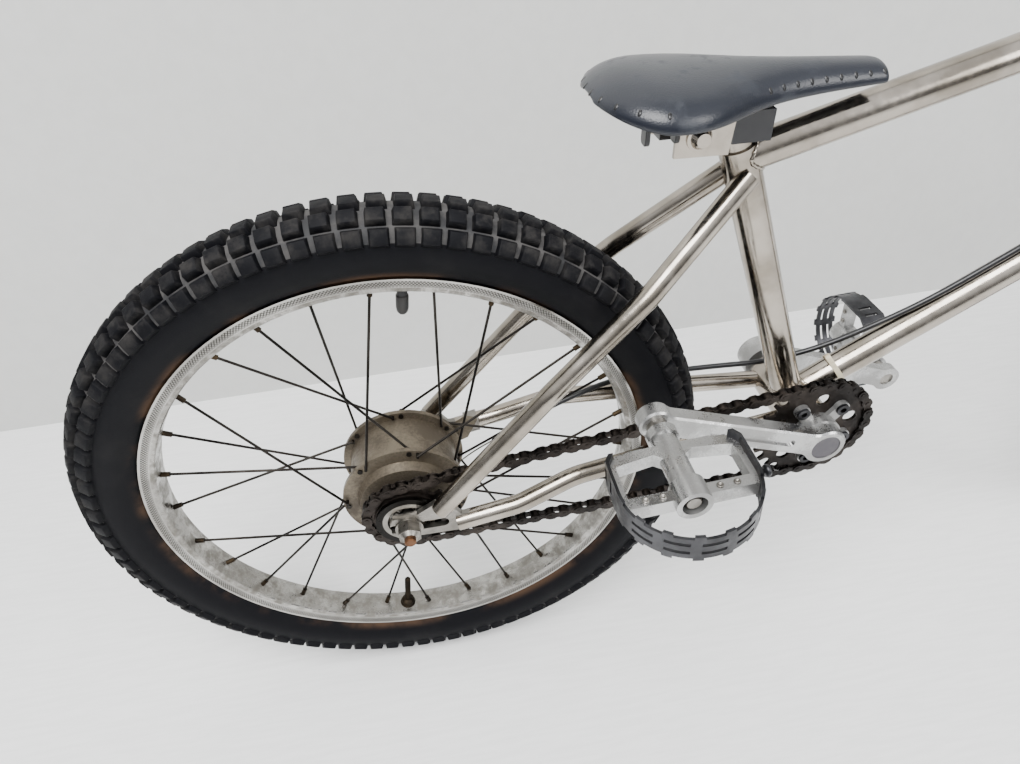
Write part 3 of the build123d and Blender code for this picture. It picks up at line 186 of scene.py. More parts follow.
def blend_colours(tree, share, first, second):
    """Two colours mixed by a share: 0 shows the first and 1 the second."""
    node = tree.nodes.new("ShaderNodeMix")
    node.data_type = "RGBA"
    tree.links.new(share, node.inputs[0])
    for socket, colour in zip((node.inputs[6], node.inputs[7]), (first, second)):
        if isinstance(colour, tuple):
            socket.default_value = (*colour, 1)
        else:
            tree.links.new(colour, socket)
    return node.outputs[2]


def add_bumps(tree, shader, height, depth, strength=1.0):
    """Tilts the surface as a height pattern this many metres deep would."""
    bump = tree.nodes.new("ShaderNodeBump")
    bump.inputs["Distance"].default_value = depth
    bump.inputs["Strength"].default_value = strength
    tree.links.new(height, bump.inputs["Height"])
    if shader.inputs["Normal"].is_linked:
        tree.links.new(shader.inputs["Normal"].links[0].from_socket, bump.inputs["Normal"])
    tree.links.new(bump.outputs["Normal"], shader.inputs["Normal"])


def join(tree, value, shader, socket):
    """Feeds a value into one of the shader's sockets."""
    tree.links.new(value, shader.inputs[socket])


print("finish helpers are ready")

# %% [markdown]
# ## Bare and plated metal
#
# The tubes are plated steel that has been outdoors: bright under the light, hazy in patches, with
# small freckles of rust. One recipe covers all bare metals. It takes a pale and a dull colour, the
# range of gloss, and how much of the surface rusts. Rust is not metallic, so the metal share falls
# where it shows.

# %% The recipe for bare metal


def bare_metal(name, pale, dull, gloss, rust, rust_colour=(0.16, 0.06, 0.025), grain=0.0015):
    """A bare metal that is hazy in patches, with freckles of rust over a share of it."""
    finish, tree, shader = start_finish(name)
    place = own_place(tree)
    haze = rise(tree, clouds(tree, place, 0.045), 0.35, 0.65)
    film = clouds(tree, place, 0.006, 6, 0.6)
    freckles = rise(tree, clouds(tree, place, 0.007, 8, 0.7), 0.78 - rust, 0.88 - rust)
    plate = blend_colours(tree, haze, dull, pale)
    join(tree, blend_colours(tree, freckles, plate, rust_colour), shader, "Base Color")
    join(tree, rise(tree, freckles, 0, 1, 1, 0.1), shader, "Metallic")
    smooth = rise(tree, film, 0.3, 0.7, *gloss)
    rusty = work_out(tree, "MULTIPLY", freckles, 0.8)
    join(tree, work_out(tree, "MAXIMUM", smooth, rusty), shader, "Roughness")
    add_bumps(tree, shader, clouds(tree, place, grain, 3, 0.6), 0.00004, 0.4)
    return finish


worn_nickel = bare_metal("worn_nickel", (0.40, 0.36, 0.31), (0.25, 0.22, 0.18), (0.12, 0.26), 0.05)
worn_steel = bare_metal("worn_steel", (0.30, 0.285, 0.26), (0.13, 0.12, 0.105), (0.26, 0.46), 0.10)
oily_steel = bare_metal(
    "oily_steel", (0.045, 0.037, 0.032), (0.014, 0.012, 0.011), (0.36, 0.60), 0.14, (0.030, 0.012, 0.006)
)
spoke_steel = bare_metal(
    "spoke_steel", (0.034, 0.030, 0.026), (0.012, 0.011, 0.010), (0.35, 0.55), 0.10, (0.025, 0.012, 0.007)
)
dark_brass = bare_metal(
    "dark_brass", (0.060, 0.043, 0.026), (0.020, 0.016, 0.012), (0.38, 0.55), 0.05, (0.02, 0.012, 0.008)
)
rusty_axle = bare_metal(
    "rusty_axle", (0.17, 0.085, 0.045), (0.09, 0.04, 0.02), (0.40, 0.60), 0.20, (0.14, 0.045, 0.014)
)
blackened_steel = bare_metal(
    "blackened_steel", (0.075, 0.075, 0.08), (0.028, 0.028, 0.030), (0.32, 0.5), 0.06, (0.08, 0.05, 0.035)
)
print("metals made:", worn_nickel.name, worn_steel.name, oily_steel.name, dark_brass.name)

# %% [markdown]
# ## Cast metal
#
# The drum hub is a dull bronze-grey casting and the cranks and pedals are satin aluminium. A
# casting has a fine pebbled skin, so its bumps are larger than a plated tube's, and dirt settles in
# the hollows. The same bump pattern therefore darkens the colour where it is low.

# %% The recipe for cast metal


def cast_metal(name, pale, dirty, gloss, pebble, depth, metal, dirt=0.5):
    """A cast skin with pebbles of one size, whose hollows hold dirt."""
    finish, tree, shader = start_finish(name)
    place = own_place(tree)
    skin = clouds(tree, place, pebble, 3, 0.6)
    stain = clouds(tree, place, 0.03, 6, 0.6)
    hollows = rise(tree, work_out(tree, "ADD", work_out(tree, "MULTIPLY", skin, 0.35), stain), 0.55, 0.85)
    share = work_out(tree, "MULTIPLY", work_out(tree, "SUBTRACT", 1.0, hollows), dirt)
    join(tree, blend_colours(tree, share, pale, dirty), shader, "Base Color")
    join(tree, rise(tree, share, 0, 1, *gloss), shader, "Roughness")
    join(tree, rise(tree, share, 0, 1, metal, metal * 0.5), shader, "Metallic")
    add_bumps(tree, shader, skin, depth, 0.5)
    return finish


cast_hub = cast_metal(
    "cast_hub", (0.155, 0.130, 0.095), (0.040, 0.029, 0.018), (0.40, 0.66), 0.0022, 0.0002, 0.75, 0.8
)
satin_alloy = cast_metal(
    "satin_alloy", (0.46, 0.46, 0.455), (0.16, 0.155, 0.145), (0.24, 0.44), 0.0012, 0.00006, 1.0, 0.6
)
print("castings made:", cast_hub.name, satin_alloy.name)

# %% [markdown]
# ## Rubber and moulded plastic
#
# Tyre rubber is almost black, but dust stays on it and turns it grey in patches. The saddle is
# moulded plastic with a fine leathery grain and a soft blue-grey sheen. Both are plain, rough
# surfaces, so one recipe mixes a clean and a dusty colour and adds the moulded grain.

# %% The recipe for rubber and plastic


def moulded(name, clean, dusty, gloss, dust, grain, depth):
    """Rubber or plastic with a moulded grain and dust on a share of it."""
    finish, tree, shader = start_finish(name)
    place = own_place(tree)
    film = clouds(tree, place, 0.02, 8, 0.65)
    share = rise(tree, film, 0.62 - dust, 0.80 - dust)
    join(tree, blend_colours(tree, share, clean, dusty), shader, "Base Color")
    join(tree, rise(tree, share, 0, 1, *gloss), shader, "Roughness")
    add_bumps(tree, shader, cells(tree, place, grain), depth, 0.5)
    return finish


saddle_skin = moulded(
    "saddle_skin", (0.0050, 0.0068, 0.0125), (0.014, 0.017, 0.024), (0.30, 0.44), 0.12, 0.0011, 0.00012
)
black_rubber = moulded(
    "black_rubber", (0.006, 0.006, 0.007), (0.03, 0.028, 0.026), (0.55, 0.8), 0.10, 0.0015, 0.0001
)
cable_sheath = moulded(
    "cable_sheath", (0.003, 0.003, 0.004), (0.014, 0.013, 0.012), (0.30, 0.5), 0.06, 0.0008, 0.00003
)
# Black paint on the caps, lugs and perch; on the saddle's lacing holes the same dark is painted shade.
black_paint = moulded(
    "black_paint", (0.0035, 0.0035, 0.0045), (0.014, 0.012, 0.010), (0.32, 0.55), 0.12, 0.0009, 0.00004
)
cream_nylon = moulded(
    "cream_nylon", (0.52, 0.46, 0.33), (0.30, 0.24, 0.16), (0.42, 0.6), 0.10, 0.0010, 0.00004
)
plum_cap = moulded(
    "plum_cap", (0.034, 0.029, 0.038), (0.065, 0.06, 0.065), (0.32, 0.5), 0.14, 0.0010, 0.00004
)
print("moulded finishes made:", saddle_skin.name, black_rubber.name, cream_nylon.name)

# %% [markdown]
# ## The seat post
#
# The post is plated like the tubes, but the clamp block on top of it is painted black. Both are one
# CAD piece, so the finish changes with height: above the top of the seat tube it turns to paint.

# %% Finish the seat post
paint_foot = 0.5360
paint_full = 0.5366
seat_post_finish = worn_nickel.copy()
seat_post_finish.name = "nickel_post_black_block"
tree = seat_post_finish.node_tree
shader = tree.nodes["Principled BSDF"]
split = tree.nodes.new("ShaderNodeSeparateXYZ")
tree.links.new(own_place(tree), split.inputs["Vector"])
painted = rise(tree, split.outputs["Z"], paint_foot, paint_full)
plated_colour = shader.inputs["Base Color"].links[0].from_socket
join(tree, blend_colours(tree, painted, plated_colour, (0.004, 0.004, 0.006)), shader, "Base Color")
plated_share = shader.inputs["Metallic"].links[0].from_socket
unpainted = work_out(tree, "SUBTRACT", 1.0, painted)
join(tree, work_out(tree, "MULTIPLY", plated_share, unpainted), shader, "Metallic")
print("seat post finish made; painted above", paint_foot, "m")

# %% [markdown]
# ## The knurled rim
#
# The rim is plated steel with a band of small diamonds pressed into each side, where a rim brake
# would grip, and a dull stained face towards the hub. The band is a matter of radius, and the
# diamonds are two families of spiral lines that cross. Both are worked out from the distance and
# the angle about the axle, so one finish makes the pattern run true all the way round. The grooves
# between the diamonds are coloured near-black as painted shade.

# %% Finish the rims
knurls_round = 520
knurls_per_metre = 400


def wheel_polar(tree, centre):
    """Distance from a wheel's axle line, the angle about it, and the place along it."""
    split = tree.nodes.new("ShaderNodeSeparateXYZ")
    tree.links.new(own_place(tree, centre), split.inputs["Vector"])
    ahead, up = split.outputs["X"], split.outputs["Z"]
    squares = [work_out(tree, "MULTIPLY", part, part) for part in (ahead, up)]
    distance = work_out(tree, "SQRT", work_out(tree, "ADD", *squares))
    return distance, work_out(tree, "ARCTAN2", up, ahead), split.outputs["Y"]


def knurled_rim(name, centre):
    """Plated steel with a knurled side band, painted shade in its grooves, and a stained inner face."""
    finish, tree, shader = start_finish(name)
    place = own_place(tree)
    distance, angle, across = wheel_polar(tree, centre)
    round_count = work_out(tree, "MULTIPLY", angle, knurls_round / (2 * math.pi))
    ring_count = work_out(tree, "MULTIPLY", distance, knurls_per_metre)
    ridges = []
    for operation in ("ADD", "SUBTRACT"):
        spiral = work_out(tree, "FRACT", work_out(tree, operation, round_count, ring_count))
        ridges.append(work_out(tree, "ABSOLUTE", work_out(tree, "SUBTRACT", spiral, 0.5)))
    diamonds = rise(tree, work_out(tree, "MINIMUM", *ridges), 0.06, 0.22)
    inner_edge = rise(tree, distance, rim_radius - 0.0078, rim_radius - 0.0072)
    outer_edge = rise(tree, distance, rim_radius - 0.0022, rim_radius - 0.0016, 1, 0)
    sides = rise(tree, work_out(tree, "ABSOLUTE", across), 0.0135, 0.0145)
    band = work_out(tree, "MULTIPLY", work_out(tree, "MULTIPLY", inner_edge, outer_edge), sides)
    # The knurl's grooves, which the colour darkens as painted shade.
    painted_groove_shade = work_out(tree, "MULTIPLY", band, work_out(tree, "SUBTRACT", 1.0, diamonds))
    stain = rise(tree, clouds(tree, place, 0.012, 8, 0.7), 0.36, 0.64)
    face = rise(tree, distance, rim_radius - 0.0085, rim_radius - 0.0075, 1, 0)
    grime = work_out(tree, "MULTIPLY", face, stain)
    haze = rise(tree, clouds(tree, place, 0.05), 0.4, 0.6)
    plate = blend_colours(tree, haze, (0.30, 0.29, 0.27), (0.42, 0.41, 0.385))
    dirty = blend_colours(tree, grime, plate, (0.15, 0.14, 0.12))
    # The near-black colour in the knurl's grooves is painted shade.
    join(tree, blend_colours(tree, painted_groove_shade, dirty, (0.035, 0.032, 0.028)), shader, "Base Color")
    join(tree, rise(tree, grime, 0, 1, 1.0, 0.55), shader, "Metallic")
    join(tree, rise(tree, work_out(tree, "MAXIMUM", grime, band), 0, 1, 0.20, 0.50), shader, "Roughness")
    add_bumps(tree, shader, work_out(tree, "MULTIPLY", diamonds, band), 0.0004, 0.8)
    return finish


rear_rim_plate = knurled_rim("rear_rim_plate", rear_axle)
front_rim_plate = knurled_rim("front_rim_plate", front_axle)
print("rim finishes made for radius", rim_radius)

# %% [markdown]
# ## The freewheel's lock ring
#
# The freewheel faces outwards with a bright narrow lock ring round a dark recess. Both are on one
# flat CAD face, so the finish reads its distance from the axle and turns dark off the ring. Inside
# the ring the dark is painted recess shade with oil in it; outside the ring it is oily steel.

# %% Finish the freewheel
ring_inside = 0.0175
ring_outside = 0.0215
edge_blur = 0.0003
lock_ring_finish = worn_steel.copy()
lock_ring_finish.name = "lock_ring_steel"
tree = lock_ring_finish.node_tree
shader = tree.nodes["Principled BSDF"]
distance, _, _ = wheel_polar(tree, rear_axle)
# Inside the ring: painted shade of a recess that the flat face doesn't have, with oil in it.
painted_recess_shade = rise(tree, distance, ring_inside - edge_blur, ring_inside + edge_blur, 1, 0)
rim_of_body = rise(tree, distance, ring_outside - edge_blur, ring_outside + edge_blur)
oil_and_painted_recess_shade = work_out(tree, "MAXIMUM", painted_recess_shade, rim_of_body)
steel_colour = shader.inputs["Base Color"].links[0].from_socket
# Near-black: painted recess shade with oil inside the ring, oily steel outside it.
join(tree, blend_colours(tree, oil_and_painted_recess_shade, steel_colour, (0.010, 0.009, 0.008)), shader, "Base Color")
print("lock ring finish made from", ring_inside, "to", ring_outside, "m")

# %% [markdown]
# ## The tyre's rubber
#
# Road dirt gathers where the tyre meets the rim and browns the rubber there, while the tread is
# greyed with dust. The finish reads its distance from the axle to know which is which. Fine
# streaks run round the wall, because that is how the mould leaves it.

# %% Finish the tyres


def dusty_tyre(name, centre):
    """Black rubber, brown near the rim and dusty on the tread."""
    finish, tree, shader = start_finish(name)
    place = own_place(tree)
    distance, _, _ = wheel_polar(tree, centre)
    patches = clouds(tree, place, 0.014, 10, 0.68)
    on_tread = rise(tree, distance, 0.236, 0.250)
    tread_dust = work_out(tree, "MULTIPLY", rise(tree, patches, 0.42, 0.70), on_tread)
    wall_dust = rise(tree, clouds(tree, place, 0.05, 8, 0.6), 0.50, 0.85, 0, 0.35)
    bead_dirt = rise(tree, distance, rim_radius + 0.001, rim_radius + 0.009, 0.8, 0)
    smears = rise(tree, clouds(tree, place, 0.07, 6, 0.6), 0.40, 0.60)
    soil = work_out(tree, "MULTIPLY", bead_dirt, smears)
    dust = work_out(tree, "MAXIMUM", tread_dust, wall_dust)
    rubber = blend_colours(tree, dust, (0.0016, 0.0017, 0.0028), (0.024, 0.0225, 0.0215))
    join(tree, blend_colours(tree, soil, rubber, (0.075, 0.042, 0.024)), shader, "Base Color")
    join(tree, rise(tree, dust, 0, 1, 0.62, 0.90), shader, "Roughness")
    shader.inputs["Specular IOR Level"].default_value = 0.12
    rings = work_out(tree, "SINE", work_out(tree, "MULTIPLY", distance, 9000))
    add_bumps(tree, shader, rings, 0.00002, 0.25)
    add_bumps(tree, shader, clouds(tree, place, 0.0016, 6, 0.7), 0.00025, 0.6)
    return finish


rear_tyre_rubber = dusty_tyre("rear_tyre_rubber", rear_axle)
front_tyre_rubber = dusty_tyre("front_tyre_rubber", front_axle)
groove_rubber = moulded(
    "groove_rubber", (0.010, 0.010, 0.011), (0.055, 0.052, 0.050), (0.70, 0.9), 0.22, 0.0009, 0.00008
)
print("tyre finishes made")

# %% [markdown]
# ## Dressing the CAD pieces
#
# Most of the CAD pieces already have the right shape, so each only needs its finish. The table
# below goes finish by finish, and the check after it stops the script if a piece was forgotten.

# %% Give every CAD piece its finish
dressed = {
    "worn_nickel": (worn_nickel, "front_triangle chain_stays seat_stays headset_cups fork_steerer fork_legs"),
    "seat_post": (seat_post_finish, "seat_post"),
    "bar_nickel": (worn_nickel, "stem handlebar brake_lever saddle_bracket headset_nuts saddle_bolt"),
    "worn_steel": (worn_steel, "rear_dropouts headset_bearings bottom_bracket_cups bottom_bracket_bearings"),
    "small_steel": (worn_steel, "rear_axle_nuts rear_hub_cones brake_shoes brake_arm_clip"),
    "lock_ring_steel": (lock_ring_finish, "freewheel_body"),
    "turned_steel": (worn_steel, "rear_hub_bearings front_hub_bearings bottom_bracket_axle pedal_axles"),
    "front_steel": (worn_steel, "front_axle_nuts brake_cam_arm front_hub_shell"),
    "rusty_axle": (rusty_axle, "rear_axle front_axle"),
    "oily_steel": (oily_steel, "chain rear_cog chainring"),
    "blackened_steel": (blackened_steel, "chainring_bolts right_pedal_cage left_pedal_cage"),
    "spoke_steel": (spoke_steel, "rear_spokes front_spokes"),
    "dark_brass": (dark_brass, "rear_nipples front_nipples"),
    "cast_hub": (cast_hub, "rear_hub_shell brake_plate"),
    "satin_alloy": (satin_alloy, "right_crank left_crank right_pedal_body left_pedal_body"),
    "rear_rim_plate": (rear_rim_plate, "rear_rim"),
    "front_rim_plate": (front_rim_plate, "front_rim"),
    "rear_tyre_rubber": (rear_tyre_rubber, "rear_tyre"),
    "front_tyre_rubber": (front_tyre_rubber, "front_tyre"),
    "black_rubber": (black_rubber, "rear_inner_tube front_inner_tube grips"),
    "saddle_skin": (saddle_skin, "saddle"),
    "black_paint": (black_paint, "brake_lever_perch"),
    "cable_sheath": (cable_sheath, "brake_cable brake_cable_loop"),
    "cream_nylon": (cream_nylon, "cable_ties"),
    "plum_cap": (plum_cap, "crank_caps"),
}


def dress(piece, finish):
    """Puts one finish in every material slot of a piece."""
    if not piece.data.materials:
        piece.data.materials.append(finish)
    for number in range(len(piece.data.materials)):
        piece.data.materials[number] = finish


undressed = set(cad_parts)
for finish, names in dressed.values():
    for name in names.split():
        dress(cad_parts[name], finish)
        undressed.discard(name)
assert not undressed, f"no finish for {sorted(undressed)}"
print(len(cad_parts), "CAD pieces dressed")

# %% [markdown]
# ## Making a new piece
#
# New pieces are meshes worked out in the bicycle's own frame, so they need no moving afterwards.
# A helper turns points and faces into an object, gives it a finish and names the CAD body that it
# moves with.

# %% Helper for new pieces


def new_piece(name, mesh, finish, body=None, smooth=True):
    """An object from a bmesh, dressed, shaded and riding on a CAD body."""
    bmesh.ops.recalc_face_normals(mesh, faces=mesh.faces)
    data = bpy.data.meshes.new(name)
    mesh.to_mesh(data)
    mesh.free()
    for face in data.polygons:
        face.use_smooth = smooth
    piece = bpy.data.objects.new(name, data)
    bpy.context.collection.objects.link(piece)
    dress(piece, finish)
    if body:
        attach(piece, body)
    return piece


def turned_ring(mesh, centre, outline, sides):
    """Adds a closed outline of (radius, across) points turned about a wheel's axle."""
    rings = []
    for step in range(sides):
        turn = 2 * math.pi * step / sides
        ring = [
            mesh.verts.new(centre + Vector((radius * math.cos(turn), across, radius * math.sin(turn))))
            for radius, across in outline
        ]
        rings.append(ring)
    for step, ring in enumerate(rings):
        following = rings[(step + 1) % sides]
        for place in range(len(outline)):
            other = (place + 1) % len(outline)
            mesh.faces.new((ring[place], ring[other], following[other], following[place]))


print("piece helpers are ready")

# %% [markdown]
# ## The knobbly tyres
#
# A tyre like this has a smooth round wall and five rows of square rubber blocks. The wall is an
# outline turned about the axle. Each block is a small tapered box that stands on the wall and
# leans with it. 92 of them go round in each row, and every other row is set a little forward. A
# bevel modifier then rounds every block's edges, as worn rubber is rounded. Dust lies in the
# grooves, so the wall between the blocks takes a greyer rubber than the blocks do.

# %% Build both tyres
wall_half = 0.0243
wall_middle = 0.2325
block_height = tyre_radius - wall_middle - wall_half
wall_sides = 184
blocks_round = 92
block_length = 0.0132
row_shift = 0.08
sunk = 0.0015
side_height = 0.0038
tread_rows = [(-61, 0.0118), (-30, 0.0112), (0, 0.0112), (30, 0.0112), (61, 0.0118)]


def tyre_outline():
    """The tyre wall's closed outline: the outside from bead to bead, then the inside back."""
    bead = [(-0.0045, -0.0115), (0.0006, -0.0128), (0.0028, -0.0158)]
    outside = [(rim_radius + out, across) for out, across in bead]
    for lean in range(-130, 131, 10):
        turn = math.radians(lean)
        outside.append((wall_middle + wall_half * math.cos(turn), wall_half * math.sin(turn)))
    outside += [(radius, -across) for radius, across in reversed(outside[:len(bead)])]
    inside = []
    reach = wall_half - 0.0028
    for lean in range(120, -121, -12):
        turn = math.radians(lean)
        inside.append((wall_middle + reach * math.cos(turn), reach * math.sin(turn)))
    return outside + [(rim_radius - 0.0035, 0.0095)] + inside + [(rim_radius - 0.0035, -0.0095)]


def add_block(mesh, centre, turn, lean, length, width, height):
    """One tapered rubber block standing on the tyre's wall."""
    radial = Vector((math.cos(turn), 0, math.sin(turn)))
    along = Vector((-math.sin(turn), 0, math.cos(turn)))
    out = radial * math.cos(lean) + Vector((0, math.sin(lean), 0))
    aside = Vector((0, math.cos(lean), 0)) - radial * math.sin(lean)
    foot = centre + radial * wall_middle + out * (wall_half - sunk)
    corners = []
    for lift, share in ((0, 1.06), (height + sunk, 0.86)):
        for x, y in ((-1, -1), (1, -1), (1, 1), (-1, 1)):
            spot = foot + out * lift + along * (x * length * share / 2) + aside * (y * width * share / 2)
            corners.append(mesh.verts.new(spot))
    for face in ((3, 2, 1, 0), (4, 5, 6, 7), (0, 1, 5, 4), (1, 2, 6, 5), (2, 3, 7, 6), (3, 0, 4, 7)):
        mesh.faces.new([corners[number] for number in face])


def knobbly_tyre(name, node, centre, finish, body):
    """A tyre with its wall and its five rows of blocks."""
    mesh = bmesh.new()
    turned_ring(mesh, centre, tyre_outline(), wall_sides)
    for row, (lean, width) in enumerate(tread_rows):
        height = block_height if abs(lean) < 45 else side_height
        for number in range(blocks_round):
            turn = 2 * math.pi * (number + row_shift * (row % 2)) / blocks_round
            add_block(mesh, centre, turn, math.radians(lean), block_length, width, height)
    wall_faces = wall_sides * len(tyre_outline())
    tyre = new_piece(name, mesh, finish, body)
    tyre.data.materials.append(groove_rubber)
    for face in tyre.data.polygons[:wall_faces]:
        spoke = face.center - centre
        if math.hypot(spoke.x, spoke.z) > wall_middle + 0.009 and abs(spoke.y) < 0.0236:
            face.material_index = 1
    rounding = tyre.modifiers.new("worn_edges", "BEVEL")
    rounding.width = 0.0006
    rounding.segments = 2
    rounding.angle_limit = math.radians(35)
    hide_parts(node)


knobbly_tyre("rear_tyre_tread", "rear_tyre", rear_axle, rear_tyre_rubber, "rear_wheel")
knobbly_tyre("front_tyre_tread", "front_tyre", front_axle, front_tyre_rubber, "front_wheel")
print("each tyre has", blocks_round * len(tread_rows), "blocks", round(block_height * 1000, 1), "mm high")

# %% [markdown]
# ## Cables
#
# The brake cable's outer sheath hangs in a smooth bow from the lever to the frame. A bent-wire look
# is avoided by drawing it as one NURBS curve through its supports, and then turning the curve into
# a mesh. The bare inner wire runs on from the sheath's end to the brake arm.

# %% Build the cable bow and the inner wire


def smooth_line(name, points, radius):
    """A smooth round line of one radius that follows a few supports, as a mesh."""
    curve = bpy.data.curves.new(name, "CURVE")
    curve.dimensions = "3D"
    curve.bevel_depth = radius
    curve.bevel_resolution = 3
    curve.resolution_u = 10
    curve.use_fill_caps = True
    spline = curve.splines.new("NURBS")
    spline.points.add(len(points) - 1)
    for point, place in zip(spline.points, points):
        point.co = (*place, 1)
    spline.order_u = 3
    spline.use_endpoint_u = True
    drawn = bpy.data.objects.new(name + "_line", curve)
    bpy.context.collection.objects.link(drawn)
    bpy.context.view_layer.update()
    data = bpy.data.meshes.new_from_object(drawn.evaluated_get(bpy.context.evaluated_depsgraph_get()))
    bpy.data.objects.remove(drawn)
    piece = bpy.data.objects.new(name, data)
    bpy.context.collection.objects.link(piece)
    for face in data.polygons:
        face.use_smooth = True
    return piece


bow_supports = [
    (0.29644, -0.21535, 0.94383),
    (0.31499, -0.14944, 0.94445),
    (0.37459, -0.03, 0.89173),
    (0.41894, 0.018, 0.82221),
    (0.42223, 0.042, 0.71786),
    (0.34739, 0.052, 0.61373),
    (0.27193, 0, 0.57168),
    (0.22134, 0, 0.53943),
]
cable_bow = smooth_line("cable_bow", bow_supports, 0.0025)
dress(cable_bow, cable_sheath)
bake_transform(cable_bow)
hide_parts("brake_cable_loop")

wire_supports = [
    (-0.4065, 0.0399, 0.2495),
    (-0.4225, 0.043, 0.238),
    (-0.4385, 0.0458, 0.2235),
    (-0.4545, 0.0464, 0.210),
]
inner_wire = smooth_line("brake_inner_wire", wire_supports, 0.0008)
dress(inner_wire, worn_steel)
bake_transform(inner_wire)
print("cable bow and inner wire made with", len(bow_supports), "and", len(wire_supports), "supports")

# %% [markdown]
# ## Turned details
#
# Valve caps, screws and studs are all turned shapes on some axis. One helper revolves an outline of
# (radius, height) points about any axis from any foot, and closes it at both ends.

# %% Helper for turned details


def turn_solid(mesh, foot, axis, outline, sides=24, ribs=0.0):
    """Adds a closed turned shape; ribs lifts every other side to make a knurled grip."""
    up = Vector(axis).normalized()
    aside = up.orthogonal().normalized()
    rings = []
    for step in range(sides):
        swing = Matrix.Rotation(2 * math.pi * step / sides, 3, up) @ aside
        lift = 1 + ribs * (step % 2)
        places = [foot + swing * radius * lift + up * height for radius, height in outline]
        rings.append([mesh.verts.new(place) for place in places])
    for step, ring in enumerate(rings):
        following = rings[(step + 1) % sides]
        for place in range(len(outline) - 1):
            mesh.faces.new((ring[place], ring[place + 1], following[place + 1], following[place]))
    mesh.faces.new([ring[0] for ring in rings])
    mesh.faces.new([ring[-1] for ring in rings])


print("the turning helper is ready")

# %% [markdown]
# ## Valve caps and the rim lock
#
# A moulded cap with a rounded end closes each valve. Across the rear wheel from it, the threaded
# bronze stem of a rim lock comes through the rim. It clamps the tyre's bead, so that the tyre
# can't creep round the rim. The thread is an outline that goes in and out along the stem.

# %% Build the valve caps and the rim lock
valve_turn = math.radians(82.64)
spoke_face = rim_radius - 0.012


def wheel_spot(centre, turn, radius):
    """A place in a wheel's middle plane at an angle and a distance from its axle."""
    return centre + Vector((radius * math.cos(turn), 0, radius * math.sin(turn)))


cap_outline = [
    (0.0044, 0),
    (0.0046, 0.001),
    (0.0046, 0.010),
    (0.0040, 0.0135),
    (0.0026, 0.0155),
    (0.0008, 0.0162),
]
capped_wheels = [("rear_valve_cap", rear_axle, "rear_wheel"), ("front_valve_cap", front_axle, "front_wheel")]
for name, centre, body in capped_wheels:
    mesh = bmesh.new()
    inward = -wheel_spot(Vector(), valve_turn, 1)
    turn_solid(mesh, wheel_spot(centre, valve_turn, spoke_face - 0.010), inward, cap_outline, 32, 0.04)
    cap = new_piece(name, mesh, black_paint, body)

lock_turn = valve_turn + math.pi
thread_pitch = 0.0012
thread = [(0.0005, 0.046), (0.0022, 0.0455)]
for number in range(28):
    height = 0.044 - number * thread_pitch
    thread += [(0.0030, height), (0.0025, height - thread_pitch / 2)]
thread += [(0.0030, 0.0095), (0.0062, 0.0092), (0.0066, 0.0070)]
thread += [(0.0062, 0.0046), (0.0078, 0.0044), (0.0078, 0.0030)]
mesh = bmesh.new()
inward = -wheel_spot(Vector(), lock_turn, 1)
turn_solid(mesh, wheel_spot(rear_axle, lock_turn, spoke_face + 0.0032), inward, list(reversed(thread)), 24)
rim_lock = new_piece("rim_lock_stem", mesh, dark_brass, "rear_wheel")
print("valve caps and rim lock made")

# %% [markdown]
# ## Weld beads
#
# Brazing and welding leave a small rippled bead where two tubes meet. The bead follows the curve in
# which the branch tube cuts the main one. For each line along the branch tube's surface, the helper
# works out where it first meets the main tube, and a thin rippled ring is strung on those places.

# %% Build the weld beads
bead_width = 0.0014
bead_ripples = 22


def bead_line(main_foot, main_axis, main_radius, branch_foot, branch_axis, branch_radius, count=96):
    """Places round the joint where a branch tube's surface first meets the main tube."""
    main_axis = main_axis.normalized()
    branch_axis = branch_axis.normalized()
    aside = branch_axis.orthogonal().normalized()
    places = []
    for step in range(count):
        swing = Matrix.Rotation(2 * math.pi * step / count, 3, branch_axis) @ aside
        start = branch_foot + swing * branch_radius
        flat = branch_axis - main_axis * branch_axis.dot(main_axis)
        offset = start - main_foot
        offset -= main_axis * offset.dot(main_axis)
        reach = offset.dot(flat) ** 2 - flat.length_squared * (offset.length_squared - main_radius**2)
        travel = (-offset.dot(flat) - math.sqrt(max(reach, 0))) / flat.length_squared
        places.append(start + branch_axis * travel)
    return places


def add_bead(mesh, places, width, ripples):
    """Strings a rippled ring of metal on closed places."""
    count = len(places)
    middle = sum(places, Vector()) / count
    rings = []
    for step, place in enumerate(places):
        ahead = (places[(step + 1) % count] - places[step - 1]).normalized()
        out = (place - middle) - ahead * (place - middle).dot(ahead)
        out.normalize()
        side = ahead.cross(out)
        radius = width * (1 + 0.16 * math.sin(ripples * 2 * math.pi * step / count))
        ring = []
        for turn in range(8):
            swing = 2 * math.pi * turn / 8
            ring.append(mesh.verts.new(place + (out * math.cos(swing) + side * math.sin(swing)) * radius))
        rings.append(ring)
    for step, ring in enumerate(rings):
        following = rings[(step + 1) % count]
        for turn in range(8):
            other = (turn + 1) % 8
            mesh.faces.new((ring[turn], ring[other], following[other], following[turn]))


